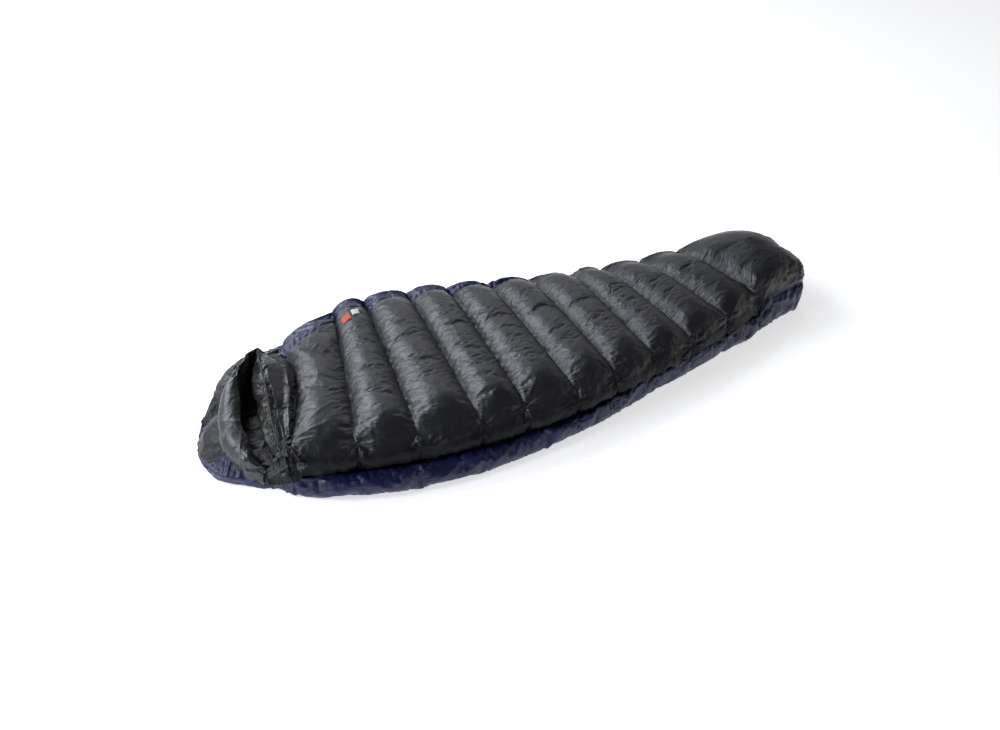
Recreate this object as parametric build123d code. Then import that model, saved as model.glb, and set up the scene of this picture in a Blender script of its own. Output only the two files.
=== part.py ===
from build123d import *
import os
import math

os.makedirs("parts", exist_ok=True)

# ---------------------------------------------------------------- driving dimensions (mm)
OX, OY = 73.5, 3.51            # shift that puts the origin under the middle of the bag
Z_BOT = 62.0                  # top of the underside quilt (loft when lying)
Z_TOP = 100.5                 # underside of the top quilt
Z_CAV = 98.0                  # height the side lips close up to
ZIP_R = 2935.0                # plan radius of the zip line, bag lying slightly curved
ZIP_C = (-276.0, 2646.0)      # centre of that radius
ZIP_A0, ZIP_A1 = -9.75, 22.75 # angles of the zip's neck end and foot end
AXIS_Z = 190.0                # height of the fold line of the opened top quilt
FOLD_A = (885.0, -55.0)       # fold line, foot end
FOLD_B = (-740.0, 170.0)      # fold line, neck end
SPLIT = 0.6                   # half gap at the fold line
TAPE_T = 1.0                  # zip tape thickness
CORD_D = 3.0                  # drawcord diameter

# seams across the bag: near end on the zip line, far end on the far outline
NEAR = [(-775, -250), (-597, -272), (-432, -287), (-252, -289), (-104, -284), (62, -269),
        (215, -248), (368, -218), (527, -177), (700, -122), (858, -61), (1070, -12)]
FAR = [(-600, 335), (-420, 388), (-318, 397), (-178, 392), (-47, 375), (86, 355),
       (226, 338), (368, 322), (478, 312), (620, 305), (772, 310), (1080, 312)]
# how far the underside bulges past the zip line, and the height of the top at each seam
BULGE = [20, 88, 103, 100, 86, 66, 48, 34, 28, 32, 44, 16]
SEAM_H = [150, 164, 168, 168, 166, 164, 161, 158, 156, 156, 164, 160]
MID_H = [172, 180, 182, 181, 179, 176, 173, 170, 168, 170, 196]


def lerp(a, b, f):
    return a + (b - a) * f


def station(u):
    """Near point, far point, bulge and height at seam coordinate u."""
    k = min(int(u), 10)
    f = u - k
    n = [lerp(NEAR[k][i], NEAR[k + 1][i], f) for i in (0, 1)]
    r = [lerp(FAR[k][i], FAR[k + 1][i], f) for i in (0, 1)]
    b = lerp(BULGE[k], BULGE[k + 1], f)
    seam = lerp(SEAM_H[k], SEAM_H[k + 1], f)
    puff = 4 * f * (1 - f)
    h = seam + (MID_H[k] - 0.5 * (SEAM_H[k] + SEAM_H[k + 1])) * puff
    return n, r, b, h, puff


def place(n, r, pts):
    """Section points (distance from the near point, height) to space."""
    w = math.dist(n, r)
    ex, ey = (r[0] - n[0]) / w, (r[1] - n[1]) / w
    return [(n[0] + ex * t - OX, n[1] + ey * t - OY, z) for t, z in pts]


def bottom_section(u, foot=False):
    n, r, b, h, puff = station(u)
    w = math.dist(n, r)
    o = 4 * puff
    if foot:        # past the zip the underside wraps up on the near side too
        pts = [(-b + 24, 0), (-b + 5, 9), (-b - o, 27), (-12, 62), (-5, Z_CAV), (26, Z_CAV), (44, Z_BOT),
               (w - 78, Z_BOT), (w - 36, Z_CAV), (w - 15, Z_CAV + 1.5), (w + o, 64), (w - 5 + o, 24), (w - 28, 0)]
        return place(n, r, pts)
    pts = [(-b + 24, 0), (-b + 5, 9), (-b - o, 27), (min(-b + 9, -12), 47), (-7, Z_BOT),
           (w - 78, Z_BOT), (w - 36, Z_CAV), (w - 15, Z_CAV + 1.5), (w + o, 64), (w - 5 + o, 24), (w - 28, 0)]
    return place(n, r, pts)


def top_section(u):
    n, r, b, h, puff = station(u)
    w = math.dist(n, r)
    o = 5 * puff
    pts = [(3, Z_TOP), (-7 - o, 114), (-3 - o, 134), (28, h - 16), (84, h - 3), (w * 0.5, h), (w - 160, h - 3),
           (w - 84, h - 17), (w - 34, 0.35 * h + 86), (w - 12 + o * 0.6, 116), (w - 15, Z_TOP + 1.4), (w - 26, Z_TOP)]
    return place(n, r, pts)


def loft_sections(sections):
    return Solid.make_loft([Wire.make_polygon([Vector(*p) for p in s], close=True) for s in sections], ruled=True)


def plan(pts, z0, z1):
    """Straight prism on a plan polygon."""
    f = Face(Wire.make_polygon([Vector(x - OX, y - OY, z0) for x, y in pts], close=True))
    s = Solid.extrude(f, Vector(0, 0, z1 - z0))
    return s


def mound(pts, levels):
    """Plan polygon stacked in levels (height, inset) about its middle, ruled between."""
    cx = sum(p[0] for p in pts) / len(pts)
    cy = sum(p[1] for p in pts) / len(pts)
    secs = []
    for z, inset in levels:
        ring = []
        for x, y in pts:
            d = math.hypot(x - cx, y - cy)
            k = max(0.2, (d - inset) / d)
            ring.append((cx + (x - cx) * k - OX, cy + (y - cy) * k - OY, z))
        secs.append(ring)
    return loft_sections(secs)


parts = {}


def save(name, shape):
    parts[name] = shape


# ---------------------------------------------------------------- the fold line
ax, ay = FOLD_A[0] - FOLD_B[0], FOLD_A[1] - FOLD_B[1]
al = math.hypot(ax, ay)
ax, ay = ax / al, ay / al                 # along the fold, towards the foot
nx, ny = -ay, ax                          # to the far side


def half_space(side, gap):
    """Big block on one side of the fold line: side -1 is the opening flap, +1 the fixed side."""
    mid = ((FOLD_A[0] + FOLD_B[0]) / 2, (FOLD_A[1] + FOLD_B[1]) / 2)
    c = (mid[0] + nx * side * (gap + 500), mid[1] + ny * side * (gap + 500))
    pl = Plane(origin=(c[0] - OX, c[1] - OY, 200), x_dir=(ax, ay, 0), z_dir=(0, 0, 1))
    return pl.location * Box(3200, 1000, 700)


def fold_y(x):
    return FOLD_B[1] + (x - FOLD_B[0]) * ay / ax


FLAP_SIDE = half_space(-1, SPLIT)
FIXED_SIDE = half_space(1, SPLIT)


def one(shape):
    s = shape.solids() if hasattr(shape, "solids") else shape
    s = sorted(s, key=lambda q: q.volume)
    return s[-1]


# ---------------------------------------------------------------- top quilt chambers
E = 0.0016
for k in range(11):
    body = loft_sections([top_section(k + f) for f in (E, 0.28, 0.72, 1 - E)])
    name = "top_baffle_%02d" % (k + 1)
    if k < 10:
        save(name + "_flap", one(body & FLAP_SIDE))
        save(name + "_side", one(body & FIXED_SIDE))
    else:
        save(name, body)

# ---------------------------------------------------------------- underside chambers
for k in range(11):
    body = loft_sections([bottom_section(k + f, k == 10) for f in (E, 0.28, 0.72, 1 - E)])
    save("bottom_baffle_%02d" % (k + 1), body)

# ---------------------------------------------------------------- foot end panel
n11, f11 = NEAR[11], FAR[11]
end = [(1073, -24), (1098, 8), (1113, 60), (1119, 130), (1119, 200), (1112, 268), (1094, 308), (1082.5, 312), (1071.5, -12)]
save("foot_end_panel", mound(end, [(0, 14), (9, 5), (30, 0), (70, 0), (104, 5), (128, 16)]))

# ---------------------------------------------------------------- hood
s0n, s0f = NEAR[0], FAR[0]
head = [(-781, -269), (-832, -224), (-896, -180), (-938, -136), (-961, -94), (-972, -45), (-966, 2), (-946, 48),
        (-906, 98), (-858, 134), (-800, 170), (-740, 222), (-682, 280), (-636, 322), (-601.5, 336), (-776.5, -250)]
slab = mound(head, [(0, 22), (9, 5), (28, 0), (46, 3), (Z_BOT, 10)])
rim_plan = [(-784, -236), (-834, -212)] + head[2:-1] + [(-776.5, -228)]
rim_out = mound(rim_plan, [(Z_BOT - 8, 8), (Z_BOT, 10), (Z_CAV + 1, 18)])
inner = [(-700, -330), (-790, -222), (-838, -176), (-886, -142), (-908, -100), (-914, -48), (-908, -4), (-890, 34),
         (-856, 74), (-812, 108), (-756, 142), (-700, 196), (-650, 262), (-560, 262), (-560, -330)]
rim = rim_out - plan(inner, Z_BOT - 20, 140)
hood_base = slab.fuse(one(rim))
save("hood_base", one(hood_base))

# face opening edges: brow tube outer edge, inner edge, top height
BROW = [((-860, -246), (-843, -252), 122), ((-883, -186), (-855, -208), 138), ((-892, -123), (-852, -138), 152),
        ((-884, -55), (-846, -80), 166), ((-856, 26), (-824, 4), 182), ((-826, 80), (-800, 62), 204),
        ((-792, 124), (-770, 98), 222), ((-744, 150), (-742, 132), 226)]


def brow_sec(i):
    (lx, ly), (rx, ry), zt = BROW[i]
    p = lambda f, z: (lerp(lx, rx, f) - OX, lerp(ly, ry, f) - OY, z)
    return [p(0, Z_TOP), p(-0.04, zt - 22), p(0.2, zt - 5), p(0.55, zt), p(0.9, zt - 7), p(1, zt - 24), p(0.94, Z_TOP)]


save("hood_brow_tube", loft_sections([brow_sec(i) for i in range(len(BROW))]))

# crown: two puffed panels between the head outline and the brow tube
crown_low = [(-866, -243), (-900, -172), (-938, -130), (-956, -90), (-964, -44), (-958, -2), (-936, 18), (-862, 24),
             (-889, -54), (-897, -123), (-888, -186)]
crown_up = [(-934, 22), (-938, 46), (-900, 92), (-854, 126), (-800, 160), (-764, 156), (-798, 127), (-831, 84), (-860, 30)]
save("hood_crown_lower", mound(crown_low, [(Z_TOP, 6), (112, 2), (128, 7), (146, 26)]))
save("hood_crown_upper", mound(crown_up, [(Z_TOP, 6), (112, 1), (130, 4), (150, 22)]))

# far side of the hood, between the crown, the peak and the first chamber
far_panel = [(-748, 176), (-795, 172), (-740, 214), (-684, 272), (-640, 312), (-607, 322), (-652, 178)]
save("hood_far_panel", mound(far_panel, [(Z_TOP, 6), (112, 2), (130, 6), (146, 20)]))

# ---------------------------------------------------------------- neck collar, on the opening flap
COLL = [((-824, -243), (-785, -252), 118, 112), ((-789, -204), (-768, -215), 136, 130), ((-779, -109), (-737, -110), 172, 150),
        ((-764, -40), (-715, -38), 188, 160), ((-752, 34), (-694, 34), 204, 162), ((-736, 108), (-671, 108), 222, 160), ((-722, 146), (-661, 142), 212, 158)]


def coll_sec(i):
    (lx, ly), (rx, ry), zl, zr = COLL[i]
    p = lambda f, z: (lerp(lx, rx, f) - OX, lerp(ly, ry, f) - OY, z)
    return [p(0, Z_TOP), p(0, zl - 10), p(0.12, zl), p(0.35, lerp(zl, zr, 0.35) + 3), p(1, zr), p(1, Z_TOP)]


save("neck_collar", one(loft_sections([coll_sec(i) for i in range(len(COLL))]) & FLAP_SIDE))


# ---------------------------------------------------------------- things that follow the zip line
def arc_solid(pts, a0, a1):
    """Sector of a ring: profile points (distance in from the zip line, height), swept from a0 to a1 degrees."""
    t = math.radians(a0)
    prof = [Vector(ZIP_C[0] + (ZIP_R - p) * math.sin(t) - OX, ZIP_C[1] - (ZIP_R - p) * math.cos(t) - OY, z) for p, z in pts]
    f = Face(Wire.make_polygon(prof, close=True))
    return one(revolve(f, axis=Axis((ZIP_C[0] - OX, ZIP_C[1] - OY, 0), (0, 0, 1)), revolution_arc=a1 - a0))


def rect(t0, t1, z0, z1):
    return [(t0, z0), (t1, z0), (t1, z1), (t0, z1)]


MMD = math.degrees(1 / ZIP_R)              # degrees per millimetre along the zip
AS = ZIP_A0 + 14 * MMD                     # slider's place at the neck
AE = ZIP_A1 - 5.6 * MMD                    # foot end of tapes and coils
save("zip_tape_lower", arc_solid(rect(-0.5, 0.5, Z_BOT + 0.4, 79.4), ZIP_A0, AE))
save("zip_tape_upper", arc_solid(rect(-0.5, 0.5, 80.6, Z_TOP - 0.5), AS - 4 * MMD, AE))
save("zip_coil_lower", arc_solid(rect(-2.8, -0.6, 77.0, 79.8), ZIP_A0, AE))
save("zip_coil_upper", arc_solid(rect(-2.8, -0.6, 80.3, 83.1), AS - 4 * MMD, AE))
save("draft_tube", arc_solid([(9, 90), (12, 83.5), (20, 80.8), (32, 80.8), (40, 84), (43, 90), (40, 96), (32, 98.2), (20, 98.2), (12, 96)],
                             AS, ZIP_A1 - 60 * MMD))
save("anti_snag_tape", arc_solid(rect(6.2, 7.0, 82, 98), AS + 30 * MMD, ZIP_A1 - 60 * MMD))


def on_zip(angle, shape):
    t = math.radians(angle)
    pl = Plane(origin=(ZIP_C[0] + ZIP_R * math.sin(t) - OX, ZIP_C[1] - ZIP_R * math.cos(t) - OY, 0),
               x_dir=(math.cos(t), math.sin(t), 0), z_dir=(0, 0, 1))
    return pl.location * shape


def block(x0, x1, y0, y1, z0, z1, r=0.0):
    b = Pos((x0 + x1) / 2, (y0 + y1) / 2, (z0 + z1) / 2) * Box(x1 - x0, y1 - y0, z1 - z0)
    if r:
        b = fillet(b.edges(), r)
    return b


save("zip_top_stop", on_zip(ZIP_A0, block(-4, -0.2, -3.4, 1.4, 74.5, 79.8, 0.5)))
save("zip_bottom_stop", on_zip(ZIP_A1, block(-5.2, -2.4, -3.2, 1.4, 74, 86, 0.5)))

# slider: outer plate, inner plate, and the post that parts the coils
sl = block(-10, 10, -6.6, -4.2, 71.5, 88.5, 0.9)
sl = sl + block(-9, 9, 2.4, 4.4, 73, 87, 0.8)
sl = sl + block(-9.4, -6.6, -5.0, 3.0, 80.2, 83.4)
sl = sl + block(-6.5, -2.5, -10.2, -6.2, 73.6, 75.2, 0.3) + block(-6.5, -2.5, -10.2, -6.2, 84.8, 86.4, 0.3)
sl = sl + Pos(-4.5, -8.6, 80) * Cylinder(0.8, 11)
save("zip_slider", on_zip(AS, one(sl)))

# pull tab: knuckle on the slider's pin, tapering plate, hole at the end
pt = Pos(-4.5, -8.6, 80) * Cylinder(1.9, 8.6)
with BuildPart() as plate:
    with BuildSketch(Plane(origin=(0, -9.4, 80), x_dir=(1, 0, 0), z_dir=(0, -1, 0))) as sk:
        with BuildLine():
            Polyline((-4.5, -3.2), (-13, -3.0), (-34, -5.2), (-40, -4.4), (-42, 0), (-40, 4.4), (-34, 5.2), (-13, 3.0), (-4.5, 3.2), close=True)
        make_face()
        with Locations((-36, 0)):
            Circle(2.2, mode=Mode.SUBTRACT)
    extrude(amount=1.4, both=False)
pt = pt + plate.part
pt = pt - Pos(-4.5, -8.6, 80) * Cylinder(1.15, 30)
save("zip_pull_tab", on_zip(AS, one(pt)))

# ---------------------------------------------------------------- cord lock on the collar's near corner
LA = AS + 6 * MMD
LY, LZ = -27.0, 114.0                        # out from the zip line, height


def lock(shape):
    return on_zip(LA, Pos(0, LY, LZ) * shape)


body = fillet(Box(20, 14, 14).edges(), 2.2)
body = body - Pos(2.0, 0, 0) * Rot(0, 90, 0) * Cylinder(4.4, 18)      # bore for button and spring, open to +X
body = body - Pos(-1, 0, 0) * Cylinder(2.0, 30)                      # cross hole for the cord
save("cord_lock_body", lock(one(body)))
btn = Pos(7.4, 0, 0) * Rot(0, 90, 0) * Cylinder(4.1, 14.6)
btn = btn + Pos(15.9, 0, 0) * fillet((Rot(0, 90, 0) * Cylinder(5.6, 3.4)).edges(), 0.9)
btn = btn - Pos(2.6, 0, 0) * Cylinder(1.9, 30) - Pos(-1.0, 0, 0) * Cylinder(1.9, 30)
save("cord_lock_button", lock(one(btn)))
coil = Pos(-5.2, 0, 0) * Rot(0, 90, 0) * (Cylinder(3.6, 2.6) - Cylinder(2.6, 4))
save("cord_lock_spring", lock(one(coil)))


# ---------------------------------------------------------------- drawcords held in their tunnels
def cord(points, d):
    """Straight runs joined by tangent arcs."""
    pts = [Vector(x - OX, y - OY, z) for x, y, z in points]
    radii = []
    for i in range(1, len(pts) - 1):
        a, b = pts[i] - pts[i - 1], pts[i + 1] - pts[i]
        turn = math.radians(a.get_angle(b))
        radii.append(0.45 * min(a.length, b.length) / math.tan(turn / 2))
    print("cord radii", [round(r) for r in radii])
    path = FilletPolyline(*pts, radius=radii)
    prof = Plane(origin=path @ 0, z_dir=path % 0) * Circle(d / 2)
    s = one(sweep(prof, path=path))
    print("cord length", round(path.length), "volume ratio", round(s.volume / (path.length * math.pi * d * d / 4), 3))
    return s


hood_path = []
for (lx, ly), (rx, ry), zt in BROW:
    hood_path.append((lerp(lx, rx, 0.55), lerp(ly, ry, 0.55), zt - 14))
save("hood_drawcord", cord(hood_path[:-1], CORD_D))
coll_path = []
for (lx, ly), (rx, ry), zl, zr in COLL:
    coll_path.append((lerp(lx, rx, 0.2), lerp(ly, ry, 0.2), zl - 12))
save("collar_drawcord", cord(coll_path[1:-1], CORD_D))

# ---------------------------------------------------------------- draft collar under the neck, on the flap
dc = [(-748, -200), (-712, -205), (-690, -80), (-668, 40), (-650, 130), (-684, 134), (-704, 44), (-726, -70)]
save("draft_collar", one(mound(dc, [(80.5, 6), (84, 2), (90, 0), (98, 3)]) & FLAP_SIDE))


# ---------------------------------------------------------------- linings
def at(u, t):
    n, r, b, h, puff = station(u)
    w = math.dist(n, r)
    return (n[0] + (r[0] - n[0]) * t / w, n[1] + (r[1] - n[1]) * t / w)


def width(u):
    n, r = station(u)[:2]
    return math.dist(n, r)


near_in = [at(k + 0.02 if k == 0 else k, 11) for k in range(0, 11)]
far_in = [at(k + 0.02 if k == 0 else k, width(k) - 82) for k in range(0, 12)]
full = near_in + [at(10.97, 14)] + list(reversed(far_in))
liner = plan(full, 98.8, 100.0)
save("top_liner_flap", one(liner & half_space(-1, 1.0)))
save("top_liner_side", one(liner & half_space(1, 1.0)))
low = [at(k + 0.02 if k == 0 else k, 8) for k in range(0, 10)] + [at(9.985, 8), at(9.985, 47), at(10.97, 47)] + list(reversed(far_in))
save("bottom_liner", plan(low, Z_BOT + 0.4, Z_BOT + 1.4))

# ---------------------------------------------------------------- plain woven label on the second chamber's far side
lab_o = Vector(-392 - OX, 284 - OY, 0)
u_dir = Vector(FAR[2][0] - FAR[1][0], FAR[2][1] - FAR[1][1], 0).normalized()
side = top_section(1.45)
pa, pb = Vector(*side[6]), Vector(*side[7])
slope = (pb - pa).normalized()
nrm = u_dir.cross(slope).normalized()
if nrm.Z < 0:
    nrm = nrm * -1
mid = pa + (pb - pa) * 0.62
pl = Plane(origin=mid + nrm * 3.0, x_dir=u_dir, z_dir=nrm)
save("label_patch", pl.location * Box(58, 34, 1.0))

for name, shape in parts.items():
    s = one(shape) if not isinstance(shape, Solid) else shape
    export_step(s, "parts/%s.step" % name)
lo = [min(tuple(s.bounding_box().min)[i] for s in parts.values()) for i in range(3)]
hi = [max(tuple(s.bounding_box().max)[i] for s in parts.values()) for i in range(3)]
print(len(parts), "parts, box", [round(v, 2) for v in lo], [round(v, 2) for v in hi])
print("centre", round((lo[0] + hi[0]) / 2, 3), round((lo[1] + hi[1]) / 2, 3))
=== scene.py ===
import bpy, math
import numpy as np
from mathutils import Vector, Matrix


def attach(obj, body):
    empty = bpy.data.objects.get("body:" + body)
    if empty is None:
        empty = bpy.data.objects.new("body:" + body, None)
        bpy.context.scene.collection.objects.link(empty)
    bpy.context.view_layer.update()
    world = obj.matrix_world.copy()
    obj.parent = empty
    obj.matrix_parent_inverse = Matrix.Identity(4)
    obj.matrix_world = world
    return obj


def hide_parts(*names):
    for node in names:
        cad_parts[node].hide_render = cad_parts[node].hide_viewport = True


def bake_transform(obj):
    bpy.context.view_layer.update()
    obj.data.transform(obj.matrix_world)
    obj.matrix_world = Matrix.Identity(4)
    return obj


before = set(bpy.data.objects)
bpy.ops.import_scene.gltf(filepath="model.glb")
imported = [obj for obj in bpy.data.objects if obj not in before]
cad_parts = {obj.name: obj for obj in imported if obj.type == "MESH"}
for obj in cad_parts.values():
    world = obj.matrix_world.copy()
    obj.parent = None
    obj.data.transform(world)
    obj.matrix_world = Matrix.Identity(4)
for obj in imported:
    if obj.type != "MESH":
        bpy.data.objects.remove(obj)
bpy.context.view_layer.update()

scene = bpy.context.scene
OX, OY = 73.5, 3.51          # mm, plan shift between the layout below and the row frame

# ------------------------------------------------------------------ layout (mm)
NEAR = np.array([(-775, -250), (-597, -272), (-432, -287), (-252, -289), (-104, -284), (62, -269),
                 (215, -248), (368, -218), (527, -177), (700, -122), (858, -61), (1070, -12)], float)
FAR = np.array([(-600, 335), (-420, 388), (-318, 397), (-178, 392), (-47, 375), (86, 355),
                (226, 338), (368, 322), (478, 312), (620, 305), (772, 310), (1080, 312)], float)
BULGE = np.array([18, 80, 94, 92, 80, 60, 42, 28, 22, 26, 38, 16], float)
SEAM_H = np.array([156, 160, 163, 163, 161, 159, 156, 153, 151, 151, 160, 165], float)
MID_H = np.array([172, 182, 184, 183, 181, 178, 175, 172, 170, 172, 197], float)
FAR_Z = np.array([118, 132, 136, 134, 130, 124, 118, 114, 112, 112, 116, 118], float)
ZIP_R, ZIP_C, ZIP_A0, ZIP_A1 = 2935.0, (-276.0, 2646.0), -9.75, 22.75


def cat(vals, u):
    """Smooth value at u through the rows of vals (Catmull-Rom)."""
    vals = np.asarray(vals, float)
    n = len(vals) - 1
    u = np.clip(np.asarray(u, float), 0, n)
    k = np.minimum(u.astype(int), n - 1)
    f = u - k
    if vals.ndim > 1:
        f = f[..., None]
    p0, p1, p2, p3 = vals[np.maximum(k - 1, 0)], vals[k], vals[k + 1], vals[np.minimum(k + 2, n)]
    return 0.5 * (2 * p1 + (p2 - p0) * f + (2 * p0 - 5 * p1 + 4 * p2 - p3) * f ** 2 + (3 * p1 - p0 - 3 * p2 + p3) * f ** 3)


def curve(ctrl, n, sub=14):
    """n points evenly spaced along a smooth curve through ctrl."""
    ctrl = np.asarray(ctrl, float)
    ctrl = ctrl[np.r_[True, np.linalg.norm(np.diff(ctrl, axis=0), axis=1) > 1e-6]]
    d = cat(ctrl, np.linspace(0, len(ctrl) - 1, (len(ctrl) - 1) * sub + 1))
    seg = np.r_[0, np.cumsum(np.linalg.norm(np.diff(d, axis=0), axis=1))]
    t = np.linspace(0, seg[-1], n)
    return np.stack([np.interp(t, seg, d[:, i]) for i in range(d.shape[1])], 1)


# ------------------------------------------------------------------ seeded smooth noise
_rs = np.random.RandomState(7)
_tab = _rs.rand(256, 256)


def vnoise(x, y, seed=0):
    x, y = np.asarray(x, float) + seed * 17.31, np.asarray(y, float) + seed * 9.77
    xi, yi = np.floor(x).astype(int), np.floor(y).astype(int)
    fx, fy = x - xi, y - yi
    fx, fy = fx * fx * (3 - 2 * fx), fy * fy * (3 - 2 * fy)
    g = lambda a, b: _tab[a % 256, b % 256]
    return (g(xi, yi) * (1 - fx) + g(xi + 1, yi) * fx) * (1 - fy) + (g(xi, yi + 1) * (1 - fx) + g(xi + 1, yi + 1) * fx) * fy


def ridge(x, y, seed=0):
    return 1 - np.abs(2 * vnoise(x, y, seed) - 1)


# ------------------------------------------------------------------ grids
def up2(P, times=1):
    """Doubles a grid's density, smoothly."""
    for _ in range(times):
        for ax in (0, 1):
            P = np.moveaxis(P, ax, 0)
            a = np.concatenate([2 * P[:1] - P[1:2], P, 2 * P[-1:] - P[-2:-1]])
            mid = (-a[:-3] + 9 * a[1:-2] + 9 * a[2:-1] - a[3:]) / 16
            out = np.empty((2 * len(P) - 1,) + P.shape[1:])
            out[0::2], out[1::2] = P, mid
            P = np.moveaxis(out, 0, ax)
    return P


def normals(P):
    du = np.gradient(P, axis=0)
    dv = np.gradient(P, axis=1)
    n = np.cross(du, dv)
    return n / np.maximum(np.linalg.norm(n, axis=2, keepdims=True), 1e-9)


def smooth(P, n=1, keep_edges=True):
    for _ in range(n):
        Q = P.copy()
        Q[1:-1, 1:-1] = 0.5 * P[1:-1, 1:-1] + 0.125 * (P[2:, 1:-1] + P[:-2, 1:-1] + P[1:-1, 2:] + P[1:-1, :-2])
        P = Q
    return P


def grid_faces(nu, nv, flip=False, wrap=False):
    i, j = np.meshgrid(np.arange(nu - 1), np.arange(nv if wrap else nv - 1), indexing="ij")
    j2 = (j + 1) % nv
    a, b, c, d = i * nv + j, (i + 1) * nv + j, (i + 1) * nv + j2, i * nv + j2
    q = np.stack([a, b, c, d] if not flip else [a, d, c, b], -1)
    return q.reshape(-1, 4)


def mesh_obj(name, P, faces, uv=None, attrs=None, smooth_shade=True):
    """A mesh object from points in mm of the layout frame, faces as index lists."""
    me = bpy.data.meshes.new(name)
    V = np.asarray(P, float).reshape(-1, 3).copy()
    V[:, 0] -= OX
    V[:, 1] -= OY
    V /= 1000.0
    faces = np.asarray(faces, int)
    nf, k = faces.shape
    me.vertices.add(len(V))
    me.vertices.foreach_set("co", V.ravel())
    me.loops.add(nf * k)
    me.loops.foreach_set("vertex_index", faces.ravel())
    me.polygons.add(nf)
    me.polygons.foreach_set("loop_start", np.arange(0, nf * k, k))
    me.polygons.foreach_set("loop_total", np.full(nf, k))
    me.polygons.foreach_set("use_smooth", np.full(nf, smooth_shade))
    if uv is not None:
        lay = me.uv_layers.new(name="UVMap")
        lay.data.foreach_set("uv", np.asarray(uv, float).reshape(-1, 2)[faces.ravel()].ravel())
    for key, val in (attrs or {}).items():
        at = me.attributes.new(key, "FLOAT", "POINT")
        at.data.foreach_set("value", np.asarray(val, np.float32).ravel())
    me.update()
    me.validate()
    o = bpy.data.objects.new(name, me)
    scene.collection.objects.link(o)
    return o


def grid_obj(name, P, uv=None, attrs=None, flip=False, wrap=False):
    nu, nv = P.shape[:2]
    return mesh_obj(name, P, grid_faces(nu, nv, flip, wrap), uv, attrs)


def arclen_uv(P):
    """UV in metres along both directions of a grid."""
    su = np.concatenate([np.zeros((1, P.shape[1])), np.cumsum(np.linalg.norm(np.diff(P, axis=0), axis=2), 0)]).mean(1)
    sv = np.concatenate([np.zeros((P.shape[0], 1)), np.cumsum(np.linalg.norm(np.diff(P, axis=1), axis=2), 1)], 1).mean(0)
    return np.stack(np.meshgrid(su / 1000, sv / 1000, indexing="ij"), -1)


# ------------------------------------------------------------------ cloth
def cloth(P, pins, flip=False, frames=16, pressure=3.0, grow=0.06, bend=0.08, tens=18.0, wrap=False, cap=30.0, quality=5):
    """Runs a cloth simulation on a grid: pins are weights 0-1, grow is how much longer the cut fabric is."""
    o = grid_obj("sim", P, flip=flip, wrap=wrap)
    vg = o.vertex_groups.new(name="pin")
    w = np.asarray(pins, float).ravel()
    for val in np.unique(np.round(w, 2)):
        if val > 0:
            vg.add([int(i) for i in np.where(np.round(w, 2) == val)[0]], float(val), "REPLACE")
    md = o.modifiers.new("Cloth", "CLOTH")
    s = md.settings
    s.quality = quality
    s.mass = 0.12
    s.air_damping = 4.0
    s.tension_stiffness = tens
    s.compression_stiffness = tens
    s.shear_stiffness = tens * 0.4
    s.tension_damping = s.compression_damping = s.shear_damping = 6.0
    s.bending_stiffness = bend
    s.bending_damping = 0.5
    s.use_pressure = True
    s.uniform_pressure_force = pressure
    s.vertex_group_mass = "pin"
    s.pin_stiffness = 2.0
    s.shrink_min = s.shrink_max = -grow
    s.effector_weights.gravity = 0.0
    md.collision_settings.use_collision = False
    md.collision_settings.use_self_collision = False
    md.point_cache.frame_start, md.point_cache.frame_end = 1, frames
    for f in range(1, frames + 1):
        scene.frame_set(f)
    dg = bpy.context.evaluated_depsgraph_get()
    ev = o.evaluated_get(dg)
    me = ev.to_mesh()
    co = np.empty(len(me.vertices) * 3)
    me.vertices.foreach_get("co", co)
    ev.to_mesh_clear()
    scene.frame_set(1)
    old = o.data
    bpy.data.objects.remove(o)
    bpy.data.meshes.remove(old)
    Q = co.reshape(P.shape) * 1000
    Q[..., 0] += OX
    Q[..., 1] += OY
    d = Q - P
    L = np.linalg.norm(d, axis=2, keepdims=True)
    return P + d * np.minimum(1, cap / np.maximum(L, 1e-9))


# ------------------------------------------------------------------ materials
def nodes_of(m):
    m.use_nodes = True
    return m.node_tree.nodes, m.node_tree.links


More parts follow.
